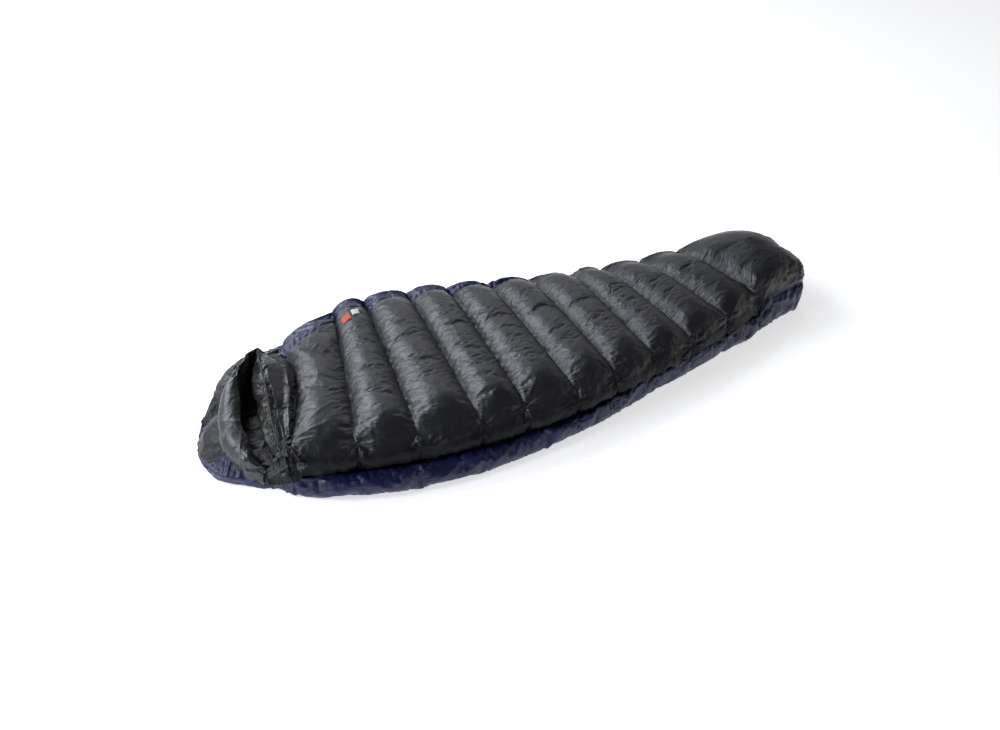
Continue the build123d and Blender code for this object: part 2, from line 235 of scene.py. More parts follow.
def fabric(name, dark, light, rough=0.42, weave=1500.0, weave_amt=0.25, crease=0.5, coord="UV", seam_attr=False, sheen=0.0, spec=0.5):
    """Woven nylon: two-tone cloth colour, thread weave, crumple and fine creases."""
    m = bpy.data.materials.new(name)
    N, Lk = nodes_of(m)
    bs = N["Principled BSDF"]
    bs.inputs["Specular IOR Level"].default_value = spec
    bs.inputs["Sheen Weight"].default_value = sheen
    bs.inputs["Sheen Roughness"].default_value = 0.4
    if seam_attr:      # painted shade and painted highlight: a per-point attribute lowers the specular level where a region should read shaded, and a negative value raises it as a painted highlight
        sa = N.new("ShaderNodeAttribute")
        sa.attribute_name = "painted_shade_highlight"
        sm = N.new("ShaderNodeMath"); sm.operation = "MULTIPLY_ADD"
        Lk.new(sa.outputs["Fac"], sm.inputs[0]); sm.inputs[1].default_value = -0.84 * spec; sm.inputs[2].default_value = spec
        Lk.new(sm.outputs[0], bs.inputs["Specular IOR Level"])
    tc = N.new("ShaderNodeTexCoord")
    vec = tc.outputs[coord]

    def mapping(scale):
        mp = N.new("ShaderNodeMapping")
        mp.inputs["Scale"].default_value = scale
        Lk.new(vec, mp.inputs["Vector"])
        return mp.outputs["Vector"]

    def noise(scale, vecout, detail=3.0, r=0.55, dist=0.0):
        t = N.new("ShaderNodeTexNoise")
        t.inputs["Scale"].default_value = scale
        t.inputs["Detail"].default_value = detail
        t.inputs["Roughness"].default_value = r
        t.inputs["Distortion"].default_value = dist
        Lk.new(vecout, t.inputs["Vector"])
        return t.outputs["Fac"]

    # colour: slow tone change, faint thread streaks
    tone = noise(7.0, mapping((1, 1, 1)), 4.0, 0.6)
    streak = noise(1.0, mapping((60, 900, 60)), 2.0, 0.5)
    mx = N.new("ShaderNodeMath"); mx.operation = "MULTIPLY_ADD"
    Lk.new(streak, mx.inputs[0]); mx.inputs[1].default_value = 0.35; Lk.new(tone, mx.inputs[2])
    rp = N.new("ShaderNodeValToRGB")
    rp.color_ramp.elements[0].position = 0.35
    rp.color_ramp.elements[0].color = (*dark, 1)
    rp.color_ramp.elements[1].position = 0.95
    rp.color_ramp.elements[1].color = (*light, 1)
    Lk.new(mx.outputs[0], rp.inputs["Fac"])
    Lk.new(rp.outputs["Color"], bs.inputs["Base Color"])
    # roughness
    rr = N.new("ShaderNodeMapRange")
    rr.inputs["To Min"].default_value = rough - 0.06
    rr.inputs["To Max"].default_value = rough + 0.08
    Lk.new(noise(26.0, mapping((1, 1, 1)), 3.0), rr.inputs["Value"])
    Lk.new(rr.outputs[0], bs.inputs["Roughness"])
    # weave: warp and weft
    w1 = N.new("ShaderNodeTexWave"); w1.wave_type = "BANDS"; w1.bands_direction = "X"
    w1.inputs["Scale"].default_value = weave / 6.283
    Lk.new(vec, w1.inputs["Vector"])
    w2 = N.new("ShaderNodeTexWave"); w2.wave_type = "BANDS"; w2.bands_direction = "Y"
    w2.inputs["Scale"].default_value = weave / 6.283
    Lk.new(vec, w2.inputs["Vector"])
    wm = N.new("ShaderNodeMath"); wm.operation = "MAXIMUM"
    Lk.new(w1.outputs["Fac"], wm.inputs[0]); Lk.new(w2.outputs["Fac"], wm.inputs[1])
    b1 = N.new("ShaderNodeBump")
    b1.inputs["Strength"].default_value = weave_amt
    b1.inputs["Distance"].default_value = 0.0002
    Lk.new(wm.outputs[0], b1.inputs["Height"])
    # crumple: soft, and sharp fine creases
    c1 = noise(38.0, mapping((1, 1, 1)), 5.0, 0.55, 0.4)
    b2 = N.new("ShaderNodeBump")
    b2.inputs["Strength"].default_value = crease
    b2.inputs["Distance"].default_value = 0.0035
    Lk.new(c1, b2.inputs["Height"])
    Lk.new(b1.outputs["Normal"], b2.inputs["Normal"])
    last = b2
    if seam_attr:
        # puckers: fine folds that run off each seam and off the hem
        at = N.new("ShaderNodeAttribute"); at.attribute_name = "pucker"
        f1 = noise(1.0, mapping((14, 210, 1)), 3.0, 0.5, 0.25)
        m1 = N.new("ShaderNodeMath"); m1.operation = "MULTIPLY"
        Lk.new(f1, m1.inputs[0]); Lk.new(at.outputs["Fac"], m1.inputs[1])
        at2 = N.new("ShaderNodeAttribute"); at2.attribute_name = "hem"
        f2 = noise(1.0, mapping((190, 16, 1)), 3.0, 0.5, 0.25)
        m2 = N.new("ShaderNodeMath"); m2.operation = "MULTIPLY_ADD"
        Lk.new(f2, m2.inputs[0]); Lk.new(at2.outputs["Fac"], m2.inputs[1]); Lk.new(m1.outputs[0], m2.inputs[2])
        b3 = N.new("ShaderNodeBump")
        b3.inputs["Strength"].default_value = 0.9
        b3.inputs["Distance"].default_value = 0.0045
        Lk.new(m2.outputs[0], b3.inputs["Height"])
        Lk.new(b2.outputs["Normal"], b3.inputs["Normal"])
        last = b3
    Lk.new(last.outputs["Normal"], bs.inputs["Normal"])
    return m


def hard(name, color, rough=0.35, metal=0.0, grain=400.0, amt=0.15, coat=0.0):
    m = bpy.data.materials.new(name)
    N, Lk = nodes_of(m)
    bs = N["Principled BSDF"]
    bs.inputs["Metallic"].default_value = metal
    bs.inputs["Coat Weight"].default_value = coat
    tc = N.new("ShaderNodeTexCoord")
    t = N.new("ShaderNodeTexNoise"); t.inputs["Scale"].default_value = grain; t.inputs["Detail"].default_value = 3
    Lk.new(tc.outputs["Object"], t.inputs["Vector"])
    rp = N.new("ShaderNodeValToRGB")
    rp.color_ramp.elements[0].color = (*[c * 0.75 for c in color], 1)
    rp.color_ramp.elements[1].color = (*[min(1, c * 1.3) for c in color], 1)
    Lk.new(t.outputs["Fac"], rp.inputs["Fac"]); Lk.new(rp.outputs["Color"], bs.inputs["Base Color"])
    rr = N.new("ShaderNodeMapRange"); rr.inputs["To Min"].default_value = rough - 0.07; rr.inputs["To Max"].default_value = rough + 0.1
    Lk.new(t.outputs["Fac"], rr.inputs["Value"]); Lk.new(rr.outputs[0], bs.inputs["Roughness"])
    b = N.new("ShaderNodeBump"); b.inputs["Strength"].default_value = amt; b.inputs["Distance"].default_value = 0.0003
    Lk.new(t.outputs["Fac"], b.inputs["Height"]); Lk.new(b.outputs["Normal"], bs.inputs["Normal"])
    return m


M_BLACK = fabric("shell_black", (0.0055, 0.0058, 0.0075), (0.014, 0.0148, 0.019), rough=0.40, crease=0.4, seam_attr=True, spec=0.62)
M_NAVY = fabric("shell_navy", (0.005, 0.0065, 0.032), (0.012, 0.0155, 0.080), rough=0.34, crease=0.8, seam_attr=True, spec=0.5)
M_LINING = fabric("lining", (0.010, 0.010, 0.0085), (0.024, 0.024, 0.020), rough=0.4, crease=0.7, seam_attr=True, spec=0.55)
M_TAPE = fabric("zip_tape", (0.008, 0.008, 0.009), (0.018, 0.018, 0.02), rough=0.62, weave=2600, weave_amt=0.6, crease=0.15, coord="Object")
M_CORD = fabric("cord", (0.012, 0.012, 0.013), (0.03, 0.03, 0.032), rough=0.6, weave=3600, weave_amt=0.7, crease=0.1, coord="Object")
M_TRIM = fabric("trim_black", (0.004, 0.004, 0.005), (0.010, 0.010, 0.012), rough=0.5, weave=1800, weave_amt=0.4, crease=0.3)
M_LABEL = fabric("label_weave", (0.62, 0.60, 0.56), (0.78, 0.76, 0.72), rough=0.7, weave=3200, weave_amt=0.6, crease=0.05)
M_LABEL_RED = fabric("label_red", (0.42, 0.06, 0.03), (0.55, 0.09, 0.05), rough=0.7, weave=3200, weave_amt=0.6, crease=0.05)
M_COIL = hard("zip_coil", (0.012, 0.012, 0.014), 0.38)
M_METAL = hard("zip_metal", (0.09, 0.09, 0.10), 0.28, metal=0.9, coat=0.3)
M_LOCK = hard("cord_lock_plastic", (0.02, 0.02, 0.022), 0.33)
M_STEEL = hard("spring_steel", (0.6, 0.6, 0.62), 0.3, metal=1.0)

REPLACED = set()


def finish_piece(o, mat, body, nodes=(), blend=False):
    o.data.materials.append(mat)
    if nodes:
        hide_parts(*nodes)
        REPLACED.update(nodes)
    if blend:
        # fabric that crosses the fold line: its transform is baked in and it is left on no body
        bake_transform(o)
    else:
        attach(o, body)
    return o

# ------------------------------------------------------------------ plan of the quilt
_th = np.arcsin((NEAR[:11, 0] - ZIP_C[0]) / ZIP_R)
LIP = np.array([11, 37, 52, 55, 52, 45, 27, 15, 12, 12, 11, 10], float)       # how far the covers bulge out over the zip
FAR_IN = np.array([128, 96, 84, 72, 62, 48, 34, 26, 20, 18, 17, 17], float)  # black to navy seam, in from the far side


def near_pt(u):
    u = np.asarray(u, float)
    th = cat(np.r_[_th, 2 * _th[-1] - _th[-2]], np.minimum(u, 10.0))
    arc = np.stack([ZIP_C[0] + ZIP_R * np.sin(th), ZIP_C[1] - ZIP_R * np.cos(th)], -1)
    free = cat(NEAR, u)
    return np.where((u <= 10)[..., None], arc, free)


FARV, FZV = FAR.copy(), FAR_Z.copy()
FARV[0], FZV[0] = (-614, 300), 100          # the far corner sinks where the hood begins


def far_pt(u):
    return cat(FARV, u)


def neck_shift(u, v):
    """The neck seam bows towards the foot where the collar gathers it."""
    return 32.0 * np.clip(1 - u, 0, 1) * np.sin(np.pi * np.clip(v, 0, 1)) ** 1.3


def foot_cap(sec, phi, depth=40.0):
    """Rounds the section at the foot over: phi 0 is the section, pi/2 is closed."""
    c = np.array([0.5 * (sec[0, 0] + sec[-1, 0]), 0.5 * (sec[0, 1] + sec[-1, 1]), 98.0])
    out = sec.copy()
    q = np.cos(phi)
    out[:, :2] = c[:2] + (sec[:, :2] - c[:2]) * q ** 0.34
    out[:, 2] = c[2] + (sec[:, 2] - c[2]) * q ** 0.6
    out[:, 0] += depth * np.sin(phi)
    return out


def tube(u):
    f = u - math.floor(min(u, 10.9999))
    p = max(0.0, 1 - abs(2 * f - 1) ** 2.1) ** 0.72
    if u > 10.5:
        p = max(p, 1 - 0.5 * (2 * (u - 10.5)) ** 2)
    return p


def blend_pts(a, b, g):
    return [tuple(np.array(p) * (1 - g) + np.array(q) * g) for p, q in zip(a, b)]


def foot_mix(u):
    g = min(max((u - 10) / 0.3, 0.0), 1.0)
    return g * g * (3 - 2 * g)


def over_ctrl(u, w):
    """The whole upper profile, from the zip over the crest and down to the far side."""
    p = tube(u)
    hs = float(cat(SEAM_H, u)) - 12
    k = min(int(u), 10)
    hm = MID_H[k] + 3
    h = hs + (hm - hs) * p
    zf = float(cat(FZV, u))
    L = float(cat(LIP, u)) * (0.9 + 0.1 * p)
    o = 7 * p
    on = 3 * p
    zc = 67 + 3 * (1 - p)
    hn = h + 0.55 * max(hm - 4 - h, 0)          # the seam gets shallower as it turns down to the hem
    a = [(0.5, 101), (-6, 97), (-0.42 * L - 3, 85), (-0.75 * L - 1, zc), (-L - 1, zc + 4), (-L - 3 - on, zc + 22),
         (-0.78 * L - 2 - on, 112), (-0.36 * L + 3 - on, 133), (14, hn - 22), (44, 0.5 * (h + hn) - 9), (96, h - 2)]
    b = [(0.5, 99), (-3, 102), (-6, 106), (-8, 111), (-9, 117), (-9, 126), (-6, 136), (0, 147), (14, hn - 22), (44, 0.5 * (h + hn) - 9), (96, h - 2)]
    if u > 10.5:      # the foot end falls away
        h -= 10 * (u - 10.5) * 2
    return blend_pts(a, b, foot_mix(u)) + [(0.36 * w, h), (0.54 * w, h), (w - 170, h - 1), (w - 104, h - 8), (w - 58 + o, h - 27),
                                          (w - 32 + o, 0.5 * (h + zf) - 4), (w - 17 + o * 0.7, zf)]


def under_ctrl(u, w):
    """The underside from the zip to the floor, and from the floor up to the far side."""
    p = tube(u)
    b = float(cat(BULGE, u))
    zf = float(cat(FZV, u))
    kz = min(1.0, zf / 118)
    o = 7 * p
    L = float(cat(LIP, u))
    a = [(0.5, 61), (-8, 60), (-0.5 * L - 3, 60), (-L + 1, 64), (-L - 9, 64), (min(-b + 9, -L - 14), 50), (min(-b - 1, -L - 8), 28), (min(-b + 5, -L - 5), 9), (-b + 26, 0.6), (-b + 60, 0.3)]
    c = [(0.5, 98), (-6, 93), (-11, 86), (-15, 78), (-18, 68), (min(-b + 5, -20), 50), (-b - 1, 29), (-b + 5, 9), (-b + 26, 0.6), (-b + 60, 0.3)]
    return blend_pts(a, c, foot_mix(u)), [(w - 62, 0.3), (w - 28, 0.6), (w - 6 + o * 0.5, 12), (w + o, 42 * kz), (w + 2 + o, 76 * kz), (w - 3 + o, 104 * kz), (w - 17 + o * 0.7, zf)]


def resample(pts, n):
    seg = np.r_[0, np.cumsum(np.linalg.norm(np.diff(pts, axis=0), axis=1))]
    t = np.linspace(0, seg[-1], n)
    return np.stack([np.interp(t, seg, pts[:, i]) for i in range(pts.shape[1])], 1)


# ------------------------------------------------------------------ the two outer fabrics as grids
NU, NV, CAPN = ((20, 112, 7))
NB_N, NB_F, NB_M = ((26, 34, 12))
us = np.linspace(0, 11, 11 * NU + 1)
rt, rb = [], []
for u in us:
    n, f = near_pt(u), far_pt(u)
    w = float(np.linalg.norm(f - n))
    e = (f - n) / w
    full = curve(over_ctrl(float(u), w), 420)
    fin = float(cat(FAR_IN, u))
    # the seam is the last point of the crest before the cut
    cut = int(np.argmax((full[:, 0] > w - fin) & (full[:, 1] > 60)))
    if fin < 24:
        cut = len(full) - 1
    up, down = full[:cut + 1].copy(), full[cut:]
    dip = 7.0 * np.clip(1 - (full[cut, 0] - up[:, 0]) / 26.0, 0, 1) ** 2
    up[:, 1] -= dip * (fin > 24)
    down = down.copy()
    down[:, 1] -= 7.0 * np.clip(1 - np.abs(down[:, 0] - full[cut, 0]) / 26.0, 0, 1) ** 2 * (fin > 24)
    a, b = under_ctrl(float(u), w)
    if u > 10.25:      # towards the foot the navy climbs higher
        g_ = min((u - 10.25) / 0.6, 1.0)
        both = np.concatenate([curve(a, 240)[::-1], up[1:]])
        cut2 = int(np.argmax((both[:, 1] > 98.5 + 24 * g_ * g_ * (3 - 2 * g_)) & (both[:, 0] < 80)))
        a, up = resample(both[:cut2 + 1][::-1], NB_N), both[cut2:]
    else:
        a = curve(a, NB_N)
    up = resample(up, NV)
    b = curve(b, 120)
    if len(down) > 1:
        b = np.concatenate([b[:-1], down[::-1]])
    b = resample(b, NB_F)
    b[-1] = up[-1]
    mid = a[-1] + (b[0] - a[-1]) * np.linspace(0, 1, NB_M + 2)[1:-1, None]
    for tz, rows in ((up, rt), (np.concatenate([a, mid, b]), rb)):
        P = np.concatenate([n + tz[:, :1] * e, tz[:, 1:2]], 1)
        P[:, 0] += neck_shift(u, tz[:, 0] / w) * np.clip((tz[:, 1] - 60) / 60, 0, 1)
        rows.append(P)
full_end = np.concatenate([rt[-1], rb[-1][::-1][1:]])
cen = np.array([0.5 * (full_end[:, 0].min() + full_end[:, 0].max()), 0.5 * (full_end[:, 1].min() + full_end[:, 1].max()), 120.0])


def cap_row(sec, phi):
    q = np.cos(phi)
    out = sec.copy()
    out[:, :2] = cen[:2] + (sec[:, :2] - cen[:2]) * q ** 0.36
    out[:, 2] = cen[2] + (sec[:, 2] - cen[2]) * q ** 0.62
    out[:, 0] += 40 * np.sin(phi)
    return out


for k in range(1, CAPN + 1):
    ph = k / CAPN * (math.pi / 2) * 0.985
    rt.append(cap_row(rt[11 * NU], ph))
    rb.append(cap_row(rb[11 * NU], ph))
for q in (0.72, 0.40, 0.03):
    for rr in (rt, rb):
        e_ = rr[11 * NU + CAPN].copy()
        e_[:, 1:] = cen[1:] + (e_[:, 1:] - cen[1:]) * q
        e_[:, 0] = cen[0] + 40 * np.sin(math.pi / 2 * 0.985) + (e_[:, 0] - cen[0] - 40) * q + 2.5 * (1 - q)
        rr.append(e_)
TOP, BOT = np.array(rt), np.array(rb)
pin = np.zeros(TOP.shape[:2])
for k in range(0, 11):
    pin[k * NU, :] = np.where((TOP[k * NU, :, 2] > 132) | (k == 0), 1.0, 0.0)
pin[:, 0] = pin[:, -1] = 1.0
pin[-1, :] = 1.0
TOP = cloth(TOP, pin, flip=False, frames=16, pressure=3.4, grow=0.016, bend=0.08, tens=18.0, cap=18.0)
print("TOP z", TOP[..., 2].max(), TOP[..., 1].min(), TOP[..., 0].max())
pin = np.zeros(BOT.shape[:2])
pin[:, 0] = pin[:, -1] = 1.0
pin[0, :] = pin[-1, :] = 1.0
pin[:, NB_N - 2:NB_N + NB_M + 2] = 1.0
pin[:, :5] = 1.0
for k in range(0, 12):
    pin[k * NU, NB_N + NB_M:] = 1.0
BOT = cloth(BOT, pin, flip=True, frames=14, pressure=1.2, grow=0.045, bend=0.06, tens=16.0, cap=8.0)
BOT[..., 2] = np.maximum(BOT[..., 2], 0.2)


def fold(x, along, seed):
    """Sharp-crested folds across x, each about one unit wide, that wander along."""
    return (1 - np.abs(2 * vnoise(x, along, seed) - 1)) ** 2.2


def detail(P, flip_n, nu_seg, n_seg, seam_amp=1.0, hem_amp=1.0, seed=1, lip=0.0, hem_w=0.05, times=1, open_amp=1.0, far_hem=0.5, diag=0.0):
    """Adds density, then folds that run off the seams and the hems. Returns points, uv, attributes."""
    Q = up2(P, times)
    uv = arclen_uv(Q)
    S, T = uv[..., 0], uv[..., 1]
    nu, nv = Q.shape[:2]
    step = nu_seg * 2 ** times
    idx = np.arange(nu)
    k = np.clip(np.round(idx / step), 0, n_seg).astype(int)
    sgn = (idx - k * step)[:, None] * np.ones((1, nv))
    ds = np.repeat(np.abs(S[:, :1] - S[np.minimum(k * step, nu - 1), :1]), nv, 1)
    dn = np.clip(T - lip, 0, None)
    df = T.max() - T
    hm = np.exp(-dn / hem_w) + far_hem * np.exp(-df / 0.03)
    hm = np.clip(hm, 0, 1)
    # the foot side of each seam is the more gathered one
    reach = np.where(sgn > 0, 0.040, 0.022) * (0.4 + 1.4 * vnoise(S / 0.3, T / 0.03, seed + 9))
    pk = np.exp(-ds / reach)
    N = normals(Q) * (-1 if flip_n else 1)
    edge = np.clip(ds / 0.006, 0, 1)
    slant = T + 0.35 * ds * np.sign(sgn)
    w1 = fold(slant / 0.012 + 0.8 * vnoise(S / 0.06, T / 0.05, seed + 1), S / 0.16, seed + 2) - 0.45
    w2 = fold(slant / 0.0056, S / 0.09, seed + 3) - 0.45
    disp = (w1 * 2.6 + w2 * 1.5) * seam_amp * pk * edge * (0.35 + 1.1 * vnoise(S / 0.15, T / 0.07, seed))
    slant2 = S + 0.5 * (T - lip) * (2 * vnoise(S / 0.11, S * 0 + 3.3, seed + 11) - 1)
    h1 = fold(slant2 / 0.024 + 1.3 * vnoise(S / 0.05, T / 0.06, seed + 4), T / 0.05, seed + 5) - 0.4
    h2 = fold(slant2 / 0.011, T / 0.025, seed + 6) - 0.4
    dg = 1 - 0.55 * diag
    h3 = fold((S * dg + 0.9 * T) / 0.032, (T - S) / (0.06 + 0.08 * diag), seed + 12) - 0.4
    h4 = fold((S * dg - 0.7 * T) / 0.036, (T + S) / (0.06 + 0.08 * diag), seed + 14) - 0.4
    disp = disp + (h1 * (3.0 - 2.2 * diag) + h2 * (0.6 - 0.4 * diag) + h3 * (2.8 + 1.8 * diag) + h4 * (2.4 + 1.8 * diag)) * hem_amp * hm * np.clip(T / 0.012, 0, 1)
    # a few long soft creases over the open fabric, along the chamber and slanting
    c1 = fold(S / 0.05 + T / 0.12, T / 0.09 - S / 0.25, seed + 7) ** 2
    c2 = fold((S * 0.8 + T) / 0.045, (T - S) / 0.12, seed + 8) ** 3
    far_from = np.clip(ds / 0.03, 0, 1)
    disp = disp + (1.3 * (c1 - 0.2) * vnoise(S / 0.2, T / 0.16, seed + 10) + 1.1 * (c2 - 0.15) * vnoise(S / 0.13, T / 0.2, seed + 13)) * far_from * open_amp
    Q = Q + N * disp[..., None]
    return Q, uv, {"pucker": pk, "hem": hm}


R = 2 * NU
TQ, TUV, TAT = detail(TOP, False, NU, 11, seed=1, seam_amp=1.15, lip=0.06, hem_w=0.07, hem_amp=1.2, open_amp=0.7)
# folds that radiate from the gathered corner of the neck over the first chamber
TAT["hem"] = TAT["hem"] * 0.35
_u = np.arange(TQ.shape[0])[:, None] / R
# painted shade: the specular level is lowered on the near wall below the chamber crests, over a taller band at the neck
# and less towards the foot
TAT["painted_shade_highlight"] = np.clip((134 + 14 * np.clip(1 - _u / 1.2, 0, 1) - TQ[..., 2]) / 20, 0, 1) * (TUV[..., 1] < 0.30) * (1 - 0.6 * np.clip((_u - 10) / 0.6, 0, 1))
KNOT = np.array([-773.0, -214.0, 126.0])
_rel = TQ[:2 * R + 1] - KNOT
_r = np.linalg.norm(_rel, axis=2)
_an = np.arctan2(_rel[..., 1], _rel[..., 0])
_d = 6.5 * (fold(_an * 5.2 + 0.35 * vnoise(_r / 60, _an * 2, 17), _r / 150, 18) - 0.4) * np.exp(-_r / 95) * np.clip(_r / 20, 0, 1)
TQ[:2 * R + 1] += smooth(normals(TQ[:2 * R + 1]), 2) * (_d * np.clip(np.arange(2 * R + 1) / 4.0, 0, 1)[:, None])[..., None]
TQ[:, 0] = up2(TOP)[:, 0]
# gathers that spread from the near end of every seam
for k in range(1, 10):
    a_, b_ = k * R - R // 2, k * R + (3 * R) // 4
    j_ = int(np.argmin(np.abs(TUV[k * R, :, 1] - (0.098 + 0.02 * math.sin(k * 2.1)))))
    c_ = TQ[k * R, j_]
    _rel = TQ[a_:b_] - c_
    _r = np.linalg.norm(_rel, axis=2)
    _an = np.arctan2(_rel[..., 1] + _rel[..., 2] * 0.8, _rel[..., 0])
    _w = np.clip(np.minimum(np.arange(a_, b_) - a_, b_ - 1 - np.arange(a_, b_)) / 6.0, 0, 1)[:, None] * np.clip(TUV[a_:b_, :, 1] / 0.02, 0, 1)
    _d = (6.5 + 2.0 * math.sin(k * 1.7)) * (fold(_an * 3.6 + 0.4 * vnoise(_r / 45, _an * 2, 40 + k), _r / 110, 60 + k) - 0.4) * np.exp(-_r / 62) * np.clip(_r / 14, 0, 1) * _w
    TQ[a_:b_] += smooth(normals(TQ[a_:b_]), 2) * _d[..., None]
FAN = TQ[10 * R, int(TQ.shape[1] * 0.12)]
_rel = TQ[10 * R + 1:] - FAN
_r = np.linalg.norm(_rel, axis=2)
_an = np.arctan2(_rel[..., 1] + _rel[..., 2] * 0.5, _rel[..., 0])
_d = 7.0 * (fold(_an * 5.0 + 0.3 * vnoise(_r / 60, _an * 2, 27), _r / 160, 28) - 0.4) * np.exp(-_r / 85) * np.clip(_r / 20, 0, 1)
TQ[10 * R + 1:] += smooth(normals(TQ[10 * R + 1:]), 2) * _d[..., None]
for k in range(11):
    a, b = k * R, (k + 1) * R + 1
    if k == 10:
        b = TQ.shape[0]
    sl = slice(a, b)
    o = grid_obj("baffle_cover_%02d" % (k + 1), TQ[sl], TUV[sl], {q: v[sl] for q, v in TAT.items()}, flip=False)
    finish_piece(o, M_BLACK, "bag_base", ["top_baffle_%02d_flap" % (k + 1), "top_baffle_%02d_side" % (k + 1)] if k < 10 else ["top_baffle_11"],
                 blend=k < 10)

BQ, BUV, BAT = detail(BOT, True, NU, 11, seam_amp=0.7, hem_amp=0.9, seed=31, lip=0.05, hem_w=0.10, open_amp=1.9, diag=1.0)
BAT["hem"] = BAT["hem"] * 0.3
_b = up2(BOT)
BQ = _b + (BQ - _b) * np.clip(_b[..., 2:3] / 30, 0.15, 1)
BQ[..., 2] = np.maximum(BQ[..., 2], 0.2)
# the far edge of the underside meets the black fabric
BQ[:, -1] = TQ[:, -1]
BQ[:, -2] = 0.5 * (BQ[:, -1] + BQ[:, -3])
FACE_ROWS = 2 * 4
for k in range(11):
    a, b = k * R, (k + 1) * R + 1
    if k == 10:
        b = BQ.shape[0]
    sl = slice(a, b)
    j0 = FACE_ROWS if k < 10 else 0
    o = grid_obj("underside_cover_%02d" % (k + 1), BQ[sl, j0:], BUV[sl, j0:], {q: v[sl, j0:] for q, v in BAT.items()}, flip=True)
    finish_piece(o, M_NAVY, "bag_base", ["bottom_baffle_%02d" % (k + 1)] + (["foot_end_panel"] if k == 10 else []))
sl = slice(0, 10 * R + 1)
o = grid_obj("zip_facing_lower", BQ[sl, :FACE_ROWS + 1], BUV[sl, :FACE_ROWS + 1], {q: v[sl, :FACE_ROWS + 1] for q, v in BAT.items()}, flip=True)
finish_piece(o, M_BLACK, "bag_base")



# ------------------------------------------------------------------ stitching, thread by thread
def stitches(name, lines, mat, body, blend=False, pitch=3.8, ln=2.6, w=0.9, h=0.8):
    V, F = [], []
    box = [(-.5, -.5, -.4), (.5, -.5, -.4), (.5, .5, -.4), (-.5, .5, -.4), (-.4, -.33, .6), (.4, -.33, .6), (.4, .33, .6), (-.4, .33, .6)]
    for L, Nn in lines:
        seg = np.r_[0, np.cumsum(np.linalg.norm(np.diff(L, axis=0), axis=1))]
        a = np.arange(3.0, seg[-1] - 3.0, pitch * (1))
        at_s = lambda q, A: np.stack([np.interp(q, seg, A[:, i]) for i in range(3)], 1)
        c, t, n = at_s(a, L), at_s(a + ln / 2, L) - at_s(a - ln / 2, L), at_s(a, Nn)
        t /= np.linalg.norm(t, axis=1, keepdims=True)
        n -= (n * t).sum(1, keepdims=True) * t
        n /= np.linalg.norm(n, axis=1, keepdims=True)
        b = np.cross(n, t)
        base = sum(len(v) for v in V)
        V.append(np.stack([c + t * (ln * x) + b * (w * y) + n * (h * z + 0.15) for x, y, z in box], 1).reshape(-1, 3))
        for i in range(len(a)):
            q = base + 8 * i
            F += [(q, q + 3, q + 2, q + 1), (q + 4, q + 5, q + 6, q + 7), (q, q + 1, q + 5, q + 4), (q + 1, q + 2, q + 6, q + 5), (q + 2, q + 3, q + 7, q + 6), (q + 3, q, q + 4, q + 7)]
    o = mesh_obj(name, np.concatenate(V), F)
    return finish_piece(o, mat, body, blend=blend)


TN = smooth(normals(TQ), 2)
stitches("stitch_rows_top", [(TQ[k * R, 6:], TN[k * R, 6:]) for k in range(1, 11)], M_TRIM, "bag_base", blend=True)
stitches("stitch_row_hem", [(TQ[4:10 * R, 3], TN[4:10 * R, 3])], M_TRIM, "top_flap")
BN = -smooth(normals(BQ), 2)
jb = 2 * (NB_N + NB_M) + 8
stitches("stitch_rows_far", [(BQ[k * R, jb:-3][BQ[k * R, jb:-3, 2] > 4], BN[k * R, jb:-3][BQ[k * R, jb:-3, 2] > 4]) for k in range(1, 11)], M_NAVY, "bag_base")

# ------------------------------------------------------------------ linings inside the bag
LU, LV = ((11 * 14, 84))
ul = np.linspace(0.02, 10.9, LU + 1)


def lining_grid(t0, t_in, zfun, nv):
    rows = []
    for u in ul:
        n, f = near_pt(u), far_pt(u)
        w = float(np.linalg.norm(f - n))
        e = (f - n) / w
        t = np.linspace(t0, w - t_in, nv)
        z = zfun(float(u), t, w)
        P = np.concatenate([n + t[:, None] * e, z[:, None]], 1)
        P[:, 0] += neck_shift(u, t / w) * 0.6
        rows.append(P)
    return np.array(rows)


def quilted(P, seed, amp=1.0):
    Q = up2(P)
    uv = arclen_uv(Q)
    S, T = uv[..., 0], uv[..., 1]
    d = 1.4 * (fold(T / 0.03 + vnoise(S / 0.05, T / 0.05, seed), S / 0.08, seed + 1) - 0.4) + 0.9 * (fold(S / 0.02, T / 0.05, seed + 2) - 0.4)
    Q[..., 2] += amp * d
    return Q, uv, {"pucker": np.full(S.shape, 0.35), "hem": np.full(S.shape, 0.2)}


floor_in = lining_grid(3, 20, lambda u, t, w: 61.5 + 9 * tube(u) * np.clip(np.minimum(t, w - 20 - t) / 40, 0, 1) ** 0.6, LV)
Q, uv, at_ = quilted(floor_in, 61)
Q[:, 0] = up2(floor_in)[:, 0]
o = grid_obj("floor_lining", Q, uv, at_)
finish_piece(o, M_LINING, "bag_base", ["bottom_liner"])
roof_in = lining_grid(3, 20, lambda u, t, w: 101.5 - 8.0 * tube(u) * np.clip(np.minimum(t - 34, w - 20 - t) / 50, 0, 1) ** 0.6, LV)
Q, uv, at_ = quilted(roof_in, 71, 0.5)
o = grid_obj("roof_lining", Q, uv, at_, flip=True)
finish_piece(o, M_LINING, "bag_base", ["top_liner_flap", "top_liner_side"], blend=True)
ROOF0 = Q[0].copy()
# front face of the first chamber at the neck, outer fabric down to the lining
t_ = np.linspace(0, 1, 9)
fa_ = resample(TQ[0], 120)
fb_ = resample(ROOF0, 120)
NF = fa_[:, None] * (1 - t_)[None, :, None] + fb_[:, None] * t_[None, :, None]
NF[..., 0] -= 5.0 * np.sin(np.pi * t_)[None, :]
NF[..., 2] = np.where(fa_[:, None, 2] < 101.5, fa_[:, None, 2] * (1 - t_) + fb_[:, None, 2] * t_, NF[..., 2])
o = grid_obj("neck_face", NF, arclen_uv(NF), {"pucker": np.full(NF.shape[:2], 0.3), "hem": np.full(NF.shape[:2], 0.5)})
finish_piece(o, M_LINING, "bag_base", blend=True)
